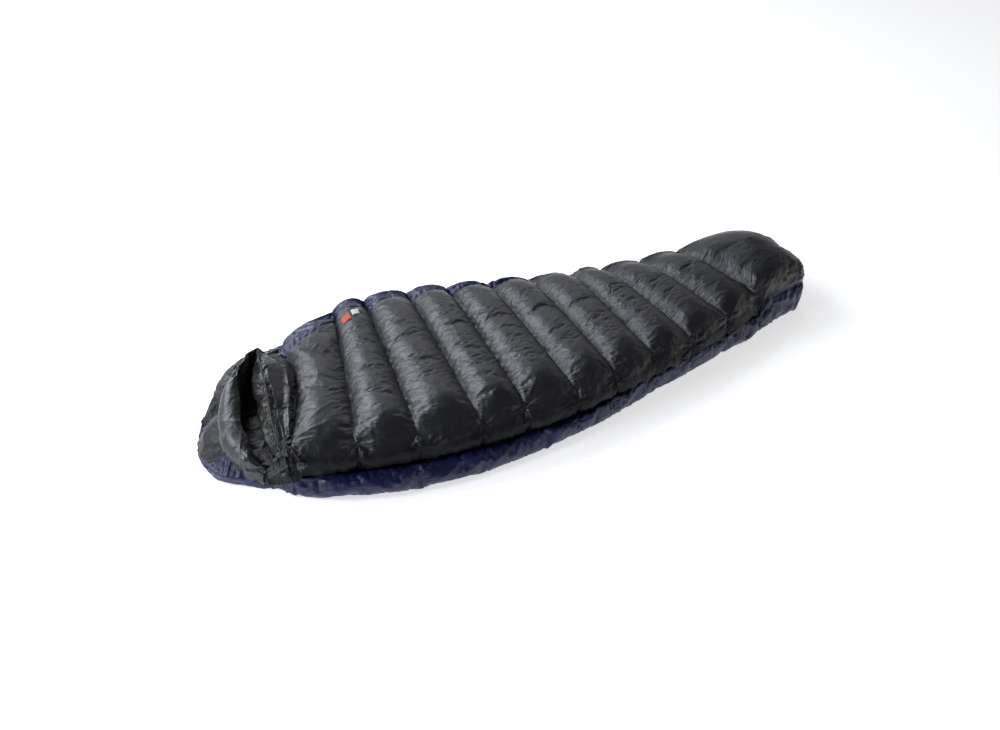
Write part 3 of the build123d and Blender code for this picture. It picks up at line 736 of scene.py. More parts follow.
# side wall of lining along the far side, floor to roof
fw = []
for u in ul:
    n, f = near_pt(u), far_pt(u)
    w = float(np.linalg.norm(f - n))
    e = (f - n) / w
    z = np.linspace(61.5, 101.5, 9)
    t = w - 20 + 7 * np.sin(np.pi * (z - 61.5) / 40) * (0.4 + tube(float(u)))
    fw.append(np.concatenate([n + t[:, None] * e, z[:, None]], 1))
fw = up2(np.array(fw))
o = grid_obj("side_lining", fw, arclen_uv(fw), {"pucker": np.full(fw.shape[:2], 0.4), "hem": np.full(fw.shape[:2], 0.3)})
finish_piece(o, M_LINING, "bag_base")


# ------------------------------------------------------------------ puffed tubes and panels
def tube_along(path, section, n, m, gather=0.0, seed=1, taper=0.0):
    """A closed tube: section(s) gives (m,2) points across and up at s from 0 to 1; path is (x,y,z)."""
    C = curve(path, n)
    Tn = np.gradient(C, axis=0)
    Tn /= np.maximum(np.linalg.norm(Tn, axis=1, keepdims=True), 1e-9)
    side = np.cross(Tn, [0, 0, 1.0])
    for i in list(range(1, n)) + list(range(n - 2, -1, -1)):          # a stretch straight up keeps its neighbour's side
        if np.linalg.norm(side[i]) < 1e-4:
            side[i] = side[i - 1] if np.linalg.norm(side[i - 1]) >= 1e-4 else side[min(i + 1, n - 1)]
    side /= np.maximum(np.linalg.norm(side, axis=1, keepdims=True), 1e-9)
    upv = np.cross(side, Tn)
    rows = []
    for i in range(n):
        s = i / (n - 1)
        k = min(1.0, math.sqrt(max(0.0, 1 - (1 - min(s, 1 - s) / max(taper, 1e-6)) ** 2)) if taper and min(s, 1 - s) < taper else 1.0)
        q = section(s) * max(k, 0.02)
        rows.append(C[i] + q[:, :1] * side[i] + q[:, 1:2] * upv[i])
    P = np.array(rows)
    if gather:
        L = np.r_[0, np.cumsum(np.linalg.norm(np.diff(C, axis=0), axis=1))][:, None] / 1000
        A = np.linspace(0, 1, m)[None, :]
        d = gather * (fold(L / 0.012 + 0.6 * vnoise(L / 0.04, A * 4, seed), A * 2.2, seed + 1) - 0.4)
        cen_ = P.mean(1, keepdims=True)
        r = P - cen_
        P = P + r / np.maximum(np.linalg.norm(r, axis=2, keepdims=True), 1e-6) * d[..., None]
    return P


def oval(a, b, m, p=2.4):
    th = np.linspace(0, 2 * np.pi, m, endpoint=False)
    c, s = np.cos(th), np.sin(th)
    return np.stack([a * np.sign(c) * np.abs(c) ** (2 / p), b * np.sign(s) * np.abs(s) ** (2 / p)], 1)


def ring_obj(name, P, attrs=(0.4, 0.3)):
    nu, nv = P.shape[:2]
    F = grid_faces(nu, nv, wrap=True)
    uv = arclen_uv(np.concatenate([P, P[:, :1]], 1))[:, :-1]
    return mesh_obj(name, P, F, uv, {"pucker": np.full(P.shape[:2], attrs[0]), "hem": np.full(P.shape[:2], attrs[1])})


zp = [tuple(near_pt(u) + 26 * (far_pt(u) - near_pt(u)) / np.linalg.norm(far_pt(u) - near_pt(u))) + (89.5,) for u in np.linspace(0.12, 9.92, 40)]
P = tube_along(zp, lambda s: oval(16.5, 7.6, 20), 620, 20, gather=1.5, seed=81, taper=0.01)
o = ring_obj("draft_tube_cover", P)
finish_piece(o, M_LINING, "top_flap", ["draft_tube"])
# ------------------------------------------------------------------ hood
def panel(A, B, ns, nt, bulge=0.0, out=(0, 0, 1), prof=0.7, sprof=0.35, mid=None):
    """A surface between two edge curves, puffed towards out. mid is a third curve half-way."""
    a, b = curve(A, ns), curve(B, ns)
    t = np.linspace(0, 1, nt)[None, :, None]
    P = a[:, None] * (1 - t) + b[:, None] * t
    if mid is not None:
        m = curve(mid, ns)
        P = P + (m[:, None] - 0.5 * (a + b)[:, None]) * (4 * t * (1 - t))
    n = normals(P)
    sg = 1.0 if (n.reshape(-1, 3) @ np.asarray(out, float)).sum() > 0 else -1.0
    s = np.linspace(0, 1, ns)[:, None]
    w = np.sin(np.pi * t[..., 0]) ** prof * (np.sin(np.pi * np.clip(s, 0.002, 0.998)) ** sprof)
    n0 = smooth(n, 6)
    return P + n0 * (sg * bulge * w)[..., None], sg


def puffed(P, sg, pressure=2.5, grow=0.05, frames=14, cap=14.0, pins=None):
    p = np.zeros(P.shape[:2])
    p[0, :] = p[-1, :] = p[:, 0] = p[:, -1] = 1.0
    if pins is not None:
        p = np.maximum(p, pins)
    return cloth(P, p, flip=sg < 0, frames=frames, pressure=pressure, grow=grow, bend=0.05, tens=16.0, cap=cap)


def edge_folds(P, sg, seed, amp=1.0, t_edge=(1, 1), s_edge=(1, 1), open_amp=1.0, reach=0.03, times=1, keep=True):
    Q = up2(P, times)
    uv = arclen_uv(Q)
    S, T = uv[..., 0], uv[..., 1]
    N = normals(Q) * sg
    dt0, dt1, ds0, ds1 = T, T.max() - T, S, S.max() - S
    et = t_edge[0] * np.exp(-dt0 / reach) + t_edge[1] * np.exp(-dt1 / reach)
    es = s_edge[0] * np.exp(-ds0 / reach) + s_edge[1] * np.exp(-ds1 / reach)
    f1 = fold(S / 0.013 + 1.2 * vnoise(S / 0.04, T / 0.05, seed), T / 0.08, seed + 1) - 0.42
    f2 = fold(S / 0.0065, T / 0.05, seed + 2) - 0.42
    g1 = fold(T / 0.013 + 1.2 * vnoise(S / 0.05, T / 0.04, seed + 3), S / 0.08, seed + 4) - 0.42
    g2 = fold(T / 0.0065, S / 0.05, seed + 5) - 0.42
    d = amp * ((f1 * 3.2 + f2 * 1.3) * et + (g1 * 3.2 + g2 * 1.3) * es)
    c1 = fold((S + 0.6 * T) / 0.04, (T - S) / 0.1, seed + 6) ** 2
    c2 = fold((T - 0.5 * S) / 0.035, (T + S) / 0.12, seed + 7) ** 2
    d = d + open_amp * (1.6 * (c1 - 0.2) + 1.3 * (c2 - 0.2)) * vnoise(S / 0.09, T / 0.09, seed + 8)
    m = np.minimum(np.minimum(dt0, dt1), np.minimum(ds0, ds1))
    Q = Q + N * (d * (np.clip(m / 0.008, 0, 1) if keep else 1.0))[..., None]
    return Q, uv, {"pucker": np.clip(es, 0, 1), "hem": np.clip(et, 0, 1)}


G = 1.0


def n_of(k):
    return max(6, int(k * G))


HEAD = [(-781, -269), (-797, -246), (-825, -215), (-859, -191), (-893, -168), (-922, -147), (-946, -118), (-958, -78), (-961, -30),
        (-955, 5), (-937, 48), (-899, 98), (-853, 134), (-797, 170), (-738, 216), (-684, 262), (-640, 289), (-612.5, 302)]
HTOP = [66, 62, 58, 66, 84, 84, 70, 40, 36, 44, 66, 96, 116, 122, 122, 116, 106, 101]
HIN = [4, 6, 8, 16, 34, 42, 40, 20, 18, 18, 20, 24, 22, 14, 10, 8, 8, 8]
ns = n_of(96)
hc = curve(HEAD, ns)
ss = np.linspace(0, 1, ns)
hk = np.linspace(0, 1, len(HEAD))
seg = np.r_[0, np.cumsum(np.linalg.norm(np.diff(np.array(HEAD, float), axis=0), axis=1))]
ztop = np.interp(ss * seg[-1], seg, HTOP)
inn = np.interp(ss * seg[-1], seg, HIN)
tg = np.gradient(hc, axis=0)
tg /= np.linalg.norm(tg, axis=1, keepdims=True)
nin = np.stack([tg[:, 1], -tg[:, 0]], 1)            # towards the inside
if ((np.array([-800.0, 0.0]) - hc) * nin).sum() < 0:
    nin = -nin
rows = []
for i in range(ns):
    zt, it = ztop[i], inn[i]
    prof_ = curve([(90, 0.3), (44, 0.4), (20, 2), (5, 11), (0, 27), (1, 40), (0.35 * it + 1, 0.5 * (40 + zt) + 1), (it, zt)], n_of(26))
    rows.append(np.concatenate([hc[i] + nin[i] * prof_[:, :1], prof_[:, 1:2]], 1))
HS = np.array(rows)
n_ = normals(HS)
sg = 1.0 if (n_[:, n_of(26) // 2, :2] * (-nin)).sum() > 0 else -1.0
HS = puffed(HS, sg, pressure=2.0, grow=0.08, cap=12)
Q, uv, at_ = edge_folds(HS, sg, 101, amp=1.3, open_amp=2.2, reach=0.035)
Q[..., 2] = np.maximum(Q[..., 2], 0.2)
o = grid_obj("hood_shell_cover", Q, uv, at_, flip=sg < 0)
finish_piece(o, M_NAVY, "bag_base", ["hood_base"])
# closing the floor of the hood
i0 = int(np.argmin(hc[:, 0]))
fa, fb = HS[:i0 + 1, 0], HS[i0:, 0][::-1]
P, sg = panel(fa, fb, n_of(40), n_of(30), 0.0, out=(0, 0, -1))
P[..., 2] = 0.3
o = grid_obj("hood_floor_cover", P, arclen_uv(P), {"pucker": np.zeros(P.shape[:2]), "hem": np.zeros(P.shape[:2])}, flip=sg < 0)
finish_piece(o, M_NAVY, "bag_base")

# crown: two puffed panels that meet at a crease
outv = np.array([-0.62, -0.42, 0.66])
lowA = [(-930, -118, 22), (-950, -74, 20), (-958, -34, 24), (-954, 0, 32), (-946, 28, 42)]
lowB = [(-890, -98, 88), (-888, -78, 106), (-884, -56, 122), (-870, -14, 144), (-850, 22, 158)]
lowB = [tuple(np.array(v) - outv * 11) for v in lowB]
P, sg = panel(lowA, lowB, n_of(34), n_of(30), 29, out=(-0.6, -0.3, 1), prof=0.55, sprof=0.55)
P = puffed(P, sg, pressure=3.0, grow=0.05, cap=12)
Q, uv, at_ = edge_folds(P, sg, 111, amp=0.9, open_amp=1.8)
# painted shade: the crown's specular level is lowered by about a quarter so it reads darker
at_["painted_shade_highlight"] = np.full(Q.shape[:2], 0.32)
o = grid_obj("crown_lower_cover", Q, uv, at_, flip=sg < 0)
finish_piece(o, M_BLACK, "bag_base", ["hood_crown_lower"])
upA = [(-946, 30, 42), (-932, 56, 62), (-896, 92, 96), (-858, 122, 116), (-812, 144, 136), (-774, 158, 152)]
upB = [(-850, 24, 158), (-836, 50, 168), (-818, 76, 180), (-796, 104, 194), (-776, 126, 204), (-750, 140, 212)]
upB = [tuple(np.array(v) - outv * 11 * (1 - j / 5)) for j, v in enumerate(upB)]
P, sg = panel(upA, upB, n_of(36), n_of(26), 22, out=(-0.6, -0.3, 1), prof=0.55, sprof=0.5)
P = puffed(P, sg, pressure=3.0, grow=0.05, cap=12)
Q, uv, at_ = edge_folds(P, sg, 121, amp=0.9, open_amp=1.8)
# painted shade: the crown's specular level is lowered by about a quarter so it reads darker
at_["painted_shade_highlight"] = np.full(Q.shape[:2], 0.32)
o = grid_obj("crown_upper_cover", Q, uv, at_, flip=sg < 0)
finish_piece(o, M_BLACK, "bag_base", ["hood_crown_upper"])

# brow: the puffed tube round the opening, with its inner side
bo = curve([(-832, -208, 22), (-864, -184, 32), (-888, -148, 52), (-902, -112, 76), (-901, -68, 102), (-884, -12, 130), (-854, 44, 160), (-820, 84, 184), (-786, 112, 205), (-764, 130, 214), (-738, 132, 222)], n_of(80))
bi = curve([(-829, -210, 70), (-852, -176, 106), (-846, -132, 130), (-851, -92, 144), (-842, -54, 154), (-827, -8, 169), (-820, 32, 184), (-808, 66, 200), (-788, 100, 213), (-766, 120, 221), (-738, 126, 229)], n_of(80))
bw = curve([(-826, -200, 56), (-846, -160, 84), (-856, -118, 100), (-858, -76, 112), (-846, -34, 120), (-828, 14, 132), (-812, 54, 144), (-794, 86, 158), (-774, 112, 172), (-754, 128, 184), (-730, 132, 192)], n_of(80))
rows = []
bo = bo - outv * (9.0 * np.clip((1 - np.linspace(0, 1, len(bo))) / 0.3, 0, 1) * np.clip(np.linspace(0, 1, len(bo)) / 0.15, 0, 1))[:, None]
for i in range(len(bo)):
    s = i / (len(bo) - 1)
    f = (0.35 + 0.65 * math.sin(math.pi * min(max(s * 0.86 + 0.1, 0), 1)) ** 0.7) * min(max((1 - s) / 0.28, 0.06), 1)
    c = [bo[i], bo[i] + (bi[i] - bo[i]) * -0.06 + outv * 17 * f, bo[i] + (bi[i] - bo[i]) * 0.16 + outv * 32 * f, bo[i] + (bi[i] - bo[i]) * 0.52 + outv * 32 * f, bo[i] + (bi[i] - bo[i]) * 0.86 + outv * 16 * f,
         bi[i] + np.array([2.5, 1.5, 1.5]) * f, bi[i] + (bw[i] - bi[i]) * 0.28 + np.array([5, 3, 0]) * f, bi[i] + (bw[i] - bi[i]) * 0.62 + np.array([3, 2, 0]) * f, bw[i]]
    rows.append(curve(c, n_of(44)))
P = np.array(rows)
sg = 1.0 if (normals(P)[:, : n_of(44) // 2].reshape(-1, 3) @ outv).sum() > 0 else -1.0
P = puffed(P, sg, pressure=2.2, grow=0.06, cap=9)
Q, uv, at_ = edge_folds(P, sg, 131, amp=1.1, open_amp=1.6, t_edge=(1.0, 0.6), s_edge=(0.8, 0.5), reach=0.026)
# painted highlight: a negative value raises the brow's specular level by about a third so it reads brighter
at_["painted_shade_highlight"] = np.full(Q.shape[:2], -0.4)
o = grid_obj("brow_cover", Q, uv, at_, flip=sg < 0)
finish_piece(o, M_BLACK, "bag_base", ["hood_brow_tube"])

# the hood's drawcord, in its tunnel under the brow's crest
kc = len(bo) // 9
dc_ = [tuple(0.62 * bi[i] + 0.16 * bo[i] + 0.22 * bw[i]) for i in range(2, len(bo) - 4, kc)]
o = ring_obj("hood_drawcord_run", tube_along(dc_, lambda s_: oval(1.5, 1.5, 10, 2.0), n_of(260), 10, taper=0.004))
finish_piece(o, M_CORD, "bag_base", ["hood_drawcord"])

# inside of the hood; its wall takes the darkest black, darker than the shell, as painted shade for the shaded inside
wb = [(-826, -186, 66), (-852, -150, 68), (-866, -104, 70), (-864, -58, 72), (-846, -6, 76), (-822, 44, 80), (-794, 86, 84), (-760, 120, 88), (-726, 140, 92)]
P, sg = panel([tuple(v) for v in bw[::max(1, len(bw) // 10)]] + [tuple(bw[-1])], wb, n_of(60), n_of(20), 4, out=(1, 0.2, 0.6))
Q, uv, at_ = edge_folds(P, sg, 141, amp=1.0, open_amp=3.0)
o = grid_obj("hood_inner_wall", Q, uv, at_, flip=sg < 0)
finish_piece(o, M_TRIM, "bag_base")

# collar: the free rim, the outer fabric gathered along its length, and the lining behind it
rim = [(-786, -206, 130), (-786, -172, 150), (-785, -132, 169), (-776, -84, 185), (-768, -42, 198), (-757, 30, 213), (-746, 92, 223), (-737, 124, 230)]
row0 = TQ[0]
sel = (row0[:, 1] > -206) & (row0[:, 2] > 100)
jn = row0[sel]
jn = jn[np.argsort(jn[:, 1])]
jn = np.concatenate([jn[:-4:max(1, len(jn) // 12)], jn[-1:]])
jn = [tuple(v - np.array([1.5, 0, 1.5])) for v in jn]
nsC, ntC = n_of(90), n_of(40)
P, sg = panel(rim, jn, nsC, ntC, 5, out=(0.5, -0.2, 1), prof=0.9)
s = np.linspace(0, 1, nsC)[:, None]
t = np.linspace(0, 1, ntC)[None, :]
n_ = smooth(normals(P), 8) * sg
# long folds that gather at the knot
w1_ = fold(t * 3.3 + 0.45 * np.sin(2.4 * s + 0.6) + 0.30 * vnoise(s * 2.5, t * 1.5, 5), s * 1.2, 6) - 0.35
w2_ = fold(t * 5.5 + 0.6 * s + 0.4 * vnoise(s * 3, t * 3, 8), s * 1.6, 7) - 0.4
env = np.sin(np.pi * t) ** 0.5 * np.clip(s / 0.06, 0, 1)
w3_ = fold(t * 4.2 + 1.1 * s + 0.35 * vnoise(s * 2, t * 2, 12), s * 1.5, 13) - 0.4
P = P + n_ * ((w1_ * 17.0 * (0.45 + 0.75 * np.exp(-((s - 0.40) / 0.34) ** 2)) + w2_ * 6.0 * np.exp(-s / 0.42) + w3_ * 8.0 * np.clip((s - 0.35) / 0.3, 0, 1)) * env)[..., None]
sag_ = np.clip((s - 0.72) / 0.28, 0, 1) ** 2
P[..., 2] -= 13.0 * np.sin(np.pi * t) * sag_
P = puffed(P, sg, pressure=1.0, grow=0.05, cap=7)
Q, uv, at_ = edge_folds(P, sg, 151, amp=0.9, open_amp=1.2, t_edge=(0.5, 1.0), s_edge=(0.5, 0.4), reach=0.022)
Q[:, 0] = up2(P)[:, 0]
COLLAR_END = Q[-1].copy()
o = grid_obj("collar_cover", Q, uv, at_, flip=sg < 0)
finish_piece(o, M_BLACK, "top_flap", ["neck_collar"])
rimQ = Q[:, 0].copy()
low = [(-806, -182, 84), (-800, -150, 90), (-794, -112, 94), (-782, -62, 97), (-768, -10, 98), (-752, 50, 98), (-736, 100, 98), (-722, 136, 98)]
lowc = curve(low, len(rimQ))
P, sg = panel([tuple(v) for v in rimQ[::max(1, len(rimQ) // 14)]] + [tuple(rimQ[-1])], low, n_of(90), n_of(30), 20, out=(-1, -0.3, 0.4), prof=0.6)
P = puffed(P, sg, pressure=2.0, grow=0.07, cap=10)
Q, uv, at_ = edge_folds(P, sg, 161, amp=1.3, open_amp=2.6, reach=0.03)
o = grid_obj("collar_lining", Q, uv, at_, flip=sg < 0)
finish_piece(o, M_LINING, "top_flap", ["draft_collar"])
# the collar's drawcord, in its tunnel behind the rim
jj = resample(np.array(jn), len(rimQ))
dd_ = (jj - rimQ) / np.linalg.norm(jj - rimQ, axis=1, keepdims=True) + (lowc - rimQ) / np.linalg.norm(lowc - rimQ, axis=1, keepdims=True)
dd_ = rimQ + np.minimum(6.5, 2.5 + 20 * np.linspace(0, 1, len(rimQ)))[:, None] * dd_ / np.linalg.norm(dd_, axis=1, keepdims=True)
lk = np.array([-758.7, -276.4])          # plan place of the cord lock's cross hole
tail_ = [(lk[0], lk[1], 99), (lk[0], lk[1], 106), (lk[0], lk[1], 114), (lk[0], lk[1], 122), (lk[0] - 1, lk[1] + 3, 129), (lk[0] - 5, lk[1] + 14, 137),
         (lk[0] - 9, lk[1] + 30, 144), (-771, -230, 147), (-775, -219, 140), (-779, -211, 136)]
o = ring_obj("collar_drawcord_run", tube_along(tail_ + [tuple(v) for v in dd_[8:-8:max(1, len(dd_) // 9)]], lambda s_: oval(1.5, 1.5, 10, 2.0), n_of(420), 10, taper=0.003))
finish_piece(o, M_CORD, "top_flap", ["collar_drawcord"])
# the knot that stops the cord below its lock
tk, pk_ = np.linspace(0.05, np.pi - 0.05, 16)[:, None], np.linspace(0, 2 * np.pi, 20, endpoint=False)[None, :]
rk = 1 + 0.16 * np.sin(3 * pk_ + 2.4 * np.cos(tk) * 2)
P = np.stack([lk[0] + 3.1 * rk * np.sin(tk) * np.cos(pk_), lk[1] + 3.1 * rk * np.sin(tk) * np.sin(pk_), 98.5 + 3.4 * np.cos(tk) + 0 * pk_], -1)
o = ring_obj("collar_cord_knot", P)
finish_piece(o, M_CORD, "top_flap")
# rim binding along the free edge
P = tube_along([tuple(v + np.array([0, 0, 0.6])) for v in rimQ[::max(1, len(rimQ) // 18)]] + [tuple(rimQ[-1])], lambda s_: oval(2.3, 2.6, 10, 2.0), n_of(260), 10, gather=0.7, seed=171, taper=0.004)
o = ring_obj("collar_rim_binding", P)
finish_piece(o, M_TRIM, "top_flap")

# floor lining of the hood, quilted across
fl_a = [(-824, -192, 66), (-850, -152, 66), (-864, -104, 68), (-862, -58, 70), (-844, -6, 74), (-820, 44, 78), (-792, 86, 82), (-758, 120, 86), (-722, 144, 90)]
fl_b = [(-790, -206, 70), (-786, -150, 74), (-772, -104, 76), (-752, -58, 78), (-738, -6, 80), (-722, 44, 84), (-708, 86, 86), (-696, 120, 88), (-688, 150, 90)]
nsF = n_of(84)
P, sg = panel(fl_a, fl_b, nsF, n_of(40), 14, out=(0, 0, 1), prof=0.5)
s = np.linspace(0, 1, nsF)[:, None]
P[..., 2] += 7 * (np.abs(np.sin(np.pi * s * 5)) ** 0.6 - 0.5) * np.sin(np.pi * np.linspace(0, 1, n_of(40)))[None, :] ** 0.5
Q, uv, at_ = edge_folds(P, sg, 181, amp=1.2, open_amp=3.0)
o = grid_obj("hood_floor_lining", Q, uv, at_, flip=sg < 0)
finish_piece(o, M_LINING, "bag_base")

# throat: the folded fabric between the brow's end, the knot and the zip
th_a = [(-830, -208, 68), (-816, -206, 88), (-799, -206, 110), (-784, -208, 131), (-770, -214, 134), (-758, -226, 128)]
th_b = [(-829, -213, 22), (-812, -231, 32), (-798, -248, 42), (-782, -262, 54), (-768, -271, 66), (-752, -275, 76)]
P, sg = panel(th_a, th_b, n_of(56), n_of(44), 9, out=(-0.2, -1, 0.5), prof=0.7)
P = puffed(P, sg, pressure=1.6, grow=0.09, cap=9)
Q = up2(P)
n_ = smooth(normals(Q), 3) * sg
rel = Q - KNOT
r = np.linalg.norm(rel, axis=2)
ang = np.arctan2(rel[..., 2], rel[..., 0] * 0.8 - rel[..., 1] * 0.3)
d = 11.0 * (fold(ang * 4.2 + 0.5 * vnoise(r / 30, ang * 2, 3), r / 60, 191) - 0.4) * np.clip(r / 26, 0, 1) * np.clip(1.5 - r / 95, 0.25, 1)
uv = arclen_uv(Q)
e_ = np.clip(np.minimum(uv[..., 1].max() - uv[..., 1], 9) / 0.01, 0, 1)
Q = Q + n_ * (d * e_)[..., None]
jm = int(Q.shape[1] * 0.56)
o = grid_obj("throat_folds", Q[:, :jm + 1], uv[:, :jm + 1], {"pucker": np.full(Q[:, :jm + 1].shape[:2], 0.6), "hem": np.full(Q[:, :jm + 1].shape[:2], 0.4)}, flip=sg < 0)
finish_piece(o, M_BLACK, "bag_base")
# painted shade: the throat facing's specular level is lowered to about a quarter so it reads as shade
o = grid_obj("throat_facing", Q[:, jm:], uv[:, jm:], {"pucker": np.full(Q[:, jm:].shape[:2], 0.3), "hem": np.full(Q[:, jm:].shape[:2], 0.3), "painted_shade_highlight": np.full(Q[:, jm:].shape[:2], 0.9)}, flip=sg < 0)
finish_piece(o, M_BLACK, "bag_base")

# the knot of gathered fabric
nk, mk = n_of(40), n_of(48)
thk = np.linspace(0.08, np.pi - 0.08, nk)[:, None]
phk = np.linspace(0, 2 * np.pi, mk, endpoint=False)[None, :]
rr_ = 1 + 0.20 * (np.abs(np.sin(phk * 4.5 + 0.8 * np.sin(thk * 2))) ** 0.8 - 0.5) + 0.10 * (vnoise(phk * 3 + 0 * thk, thk * 3, 201) - 0.5)
ax_, ay_, az_ = 15.0, 13.0, 19.0
P = np.stack([KNOT[0] - 2 + ax_ * rr_ * np.sin(thk) * np.cos(phk), KNOT[1] - 4 + ay_ * rr_ * np.sin(thk) * np.sin(phk), KNOT[2] - 4 + az_ * rr_ * np.cos(thk)], -1)
o = ring_obj("gather_knot", P)
finish_piece(o, M_BLACK, "top_flap")

# far side of the hood, from the crown round to the first chamber
fe = BQ[0][::-1]
_endA = up2(HS)[-1, -1]
far_line = fe[:int(np.argmin(np.linalg.norm(fe - _endA, axis=1))) + 1]
i1 = int(np.argmin(np.linalg.norm(HS[:, -1, :2] - np.array([-862.0, 112.0]), axis=1)))
fa_ = [tuple(v) for v in HS[i1:-1:max(1, (len(HS) - i1) // 12), -1]] + [tuple(HS[-1, -1])]
fb_ = [(-838, 132, 128), (-812, 146, 138), (-775, 159, 154), (-757, 148, 188), (-744, 134, 220)] + [tuple(v) for v in COLLAR_END[::max(1, len(COLLAR_END) // 8)]] + [tuple(TQ[0, -1])]
P, sg = panel(fa_, fb_, n_of(64), n_of(34), 5, out=(-0.2, 0.3, 1), prof=0.6)
P[-1] = resample(far_line, P.shape[1])[::-1]
P = puffed(P, sg, pressure=2.0, grow=0.05, cap=8)
Q, uv, at_ = edge_folds(P, sg, 211, amp=1.1, open_amp=2.0, t_edge=(0.6, 1.0), s_edge=(0.4, 0.8))
o = grid_obj("hood_far_cover", Q, uv, at_, flip=sg < 0)
finish_piece(o, M_NAVY, "bag_base", ["hood_far_panel"])

# lining on the far side of the neck, from the hood wall to the bag's side lining
na = [tuple(fw[0, -1]), tuple(fw[0, fw.shape[1] // 2]), tuple(fw[0, 0])]
nb = [(-728, 140, 190), (-727, 141, 140), (-724, 143, 90)]
P, sg = panel(na, nb, n_of(24), n_of(50), 8, out=(0.2, -1, 0.3), prof=0.6)
Q, uv, at_ = edge_folds(P, sg, 221, amp=1.0, open_amp=2.5)
o = grid_obj("neck_side_lining", Q, uv, at_, flip=sg < 0)
finish_piece(o, M_LINING, "bag_base")
# floor lining across the neck
na = [tuple(v) for v in floor_in[0][::12]] + [tuple(floor_in[0][-1])]
nb = [(-778, -214, 68), (-770, -170, 72), (-756, -110, 74), (-742, -50, 76), (-728, 10, 78), (-712, 70, 82), (-700, 112, 84), (-690, 148, 86)]
P, sg = panel(na, nb, n_of(70), n_of(24), 5, out=(0, 0, 1), prof=0.6)
Q, uv, at_ = edge_folds(P, sg, 231, amp=1.0, open_amp=2.5)
o = grid_obj("neck_floor_lining", Q, uv, at_, flip=sg < 0)
finish_piece(o, M_LINING, "bag_base")
# ------------------------------------------------------------------ zip coils: wound teeth
def on_zip(s, y, z):
    """A point s mm along the zip line from its start, y mm inward, at height z."""
    a = math.radians(ZIP_A0) + s / ZIP_R
    r = ZIP_R - y
    return (ZIP_C[0] + r * math.sin(a), ZIP_C[1] - r * math.cos(a), z)


def coil(name, z0, hz, body, node):
    a0, a1 = math.radians(ZIP_A0) * ZIP_R + 14, math.radians(ZIP_A1) * ZIP_R - 12
    length = (math.radians(ZIP_A1) - math.radians(ZIP_A0)) * ZIP_R - 26
    pitch = 2.6
    turns = int(length / pitch)
    per, m = 8, 5
    k = np.arange(turns * per + 1)
    th = 2 * np.pi * k / per
    sarc = 14 + k / per * pitch
    yy = -1.7 + 1.0 * np.cos(th)
    zz = z0 + hz * np.sin(th)
    a = math.radians(ZIP_A0) + sarc / ZIP_R
    r = ZIP_R - yy
    C = np.stack([ZIP_C[0] + r * np.sin(a), ZIP_C[1] - r * np.cos(a), zz], 1)
    Tn = np.gradient(C, axis=0)
    Tn /= np.linalg.norm(Tn, axis=1, keepdims=True)
    ref = np.stack([np.cos(a), np.sin(a), 0 * a], 1)
    sd = np.cross(Tn, ref)
    sd /= np.linalg.norm(sd, axis=1, keepdims=True)
    u2_ = np.cross(sd, Tn)
    q = np.linspace(0, 2 * np.pi, m, endpoint=False)
    P = C[:, None] + 0.42 * (np.cos(q)[None, :, None] * sd[:, None] + np.sin(q)[None, :, None] * u2_[:, None])
    o = mesh_obj(name, P, grid_faces(P.shape[0], m, wrap=True))
    finish_piece(o, M_COIL, body, [node])


coil("coil_teeth_lower", 78.4, 1.3, "bag_base", "zip_coil_lower")
coil("coil_teeth_upper", 81.7, 1.3, "top_flap", "zip_coil_upper")

# ------------------------------------------------------------------ label patches, plain
uvk = TUV[R:2 * R + 1]


def patch_on_cover(name, u_c, t_back, du_mm, dt_mm, mat, seed, tilt=0.0):
    """A small woven patch that lies on the black cover: centre at chamber position u_c, t_back mm in from the black fabric's far edge."""
    S, T = TUV[..., 0], TUV[..., 1]
    i_c = int(round(u_c * R))
    sc, tc = S[i_c, 0] * 1000, T[i_c, -1] * 1000 - t_back
    n1, n2 = 15, 11
    a = np.linspace(-du_mm / 2, du_mm / 2, n1)[:, None] + 0 * np.linspace(0, 1, n2)[None, :]
    b = 0 * a + np.linspace(-dt_mm / 2, dt_mm / 2, n2)[None, :]
    ca, sa = math.cos(math.radians(tilt)), math.sin(math.radians(tilt))
    s_, t_ = sc + a * ca - b * sa, tc + a * sa + b * ca
    si = np.interp(s_, S[:, 0] * 1000, np.arange(S.shape[0]))
    ti = np.interp(t_, T[0] * 1000, np.arange(T.shape[1]))

    base = smooth(TQ, 5)

    def samp(x, y):
        xi, yi = np.clip(x.astype(int), 0, TQ.shape[0] - 2), np.clip(y.astype(int), 0, TQ.shape[1] - 2)
        fx, fy = (x - xi)[..., None], (y - yi)[..., None]
        return (base[xi, yi] * (1 - fx) + base[xi + 1, yi] * fx) * (1 - fy) + (base[xi, yi + 1] * (1 - fx) + base[xi + 1, yi + 1] * fx) * fy
    P = samp(si, ti)
    N_ = normals(base)
    nn = N_[np.clip(si.astype(int), 0, TQ.shape[0] - 1), np.clip(ti.astype(int), 0, TQ.shape[1] - 1)]
    if nn[..., 2].mean() < 0:
        nn = -nn
    top_ = P + nn * 2.6
    uv_ = np.stack([a, b], -1) / 1000
    V = np.concatenate([top_.reshape(-1, 3), (P + nn * 0.6).reshape(-1, 3)])
    F = [tuple(f) for f in grid_faces(n1, n2)]
    bd = [(i, 0) for i in range(n1)] + [(n1 - 1, j) for j in range(1, n2)] + [(i, n2 - 1) for i in range(n1 - 2, -1, -1)] + [(0, j) for j in range(n2 - 2, 0, -1)]
    off = n1 * n2
    for q in range(len(bd)):
        i1, i2 = bd[q], bd[(q + 1) % len(bd)]
        A_, B_ = i1[0] * n2 + i1[1], i2[0] * n2 + i2[1]
        F.append((B_, A_, A_ + off, B_ + off))
    o = mesh_obj(name, V, F, np.concatenate([uv_.reshape(-1, 2), uv_.reshape(-1, 2)]))
    return finish_piece(o, mat, "bag_base")


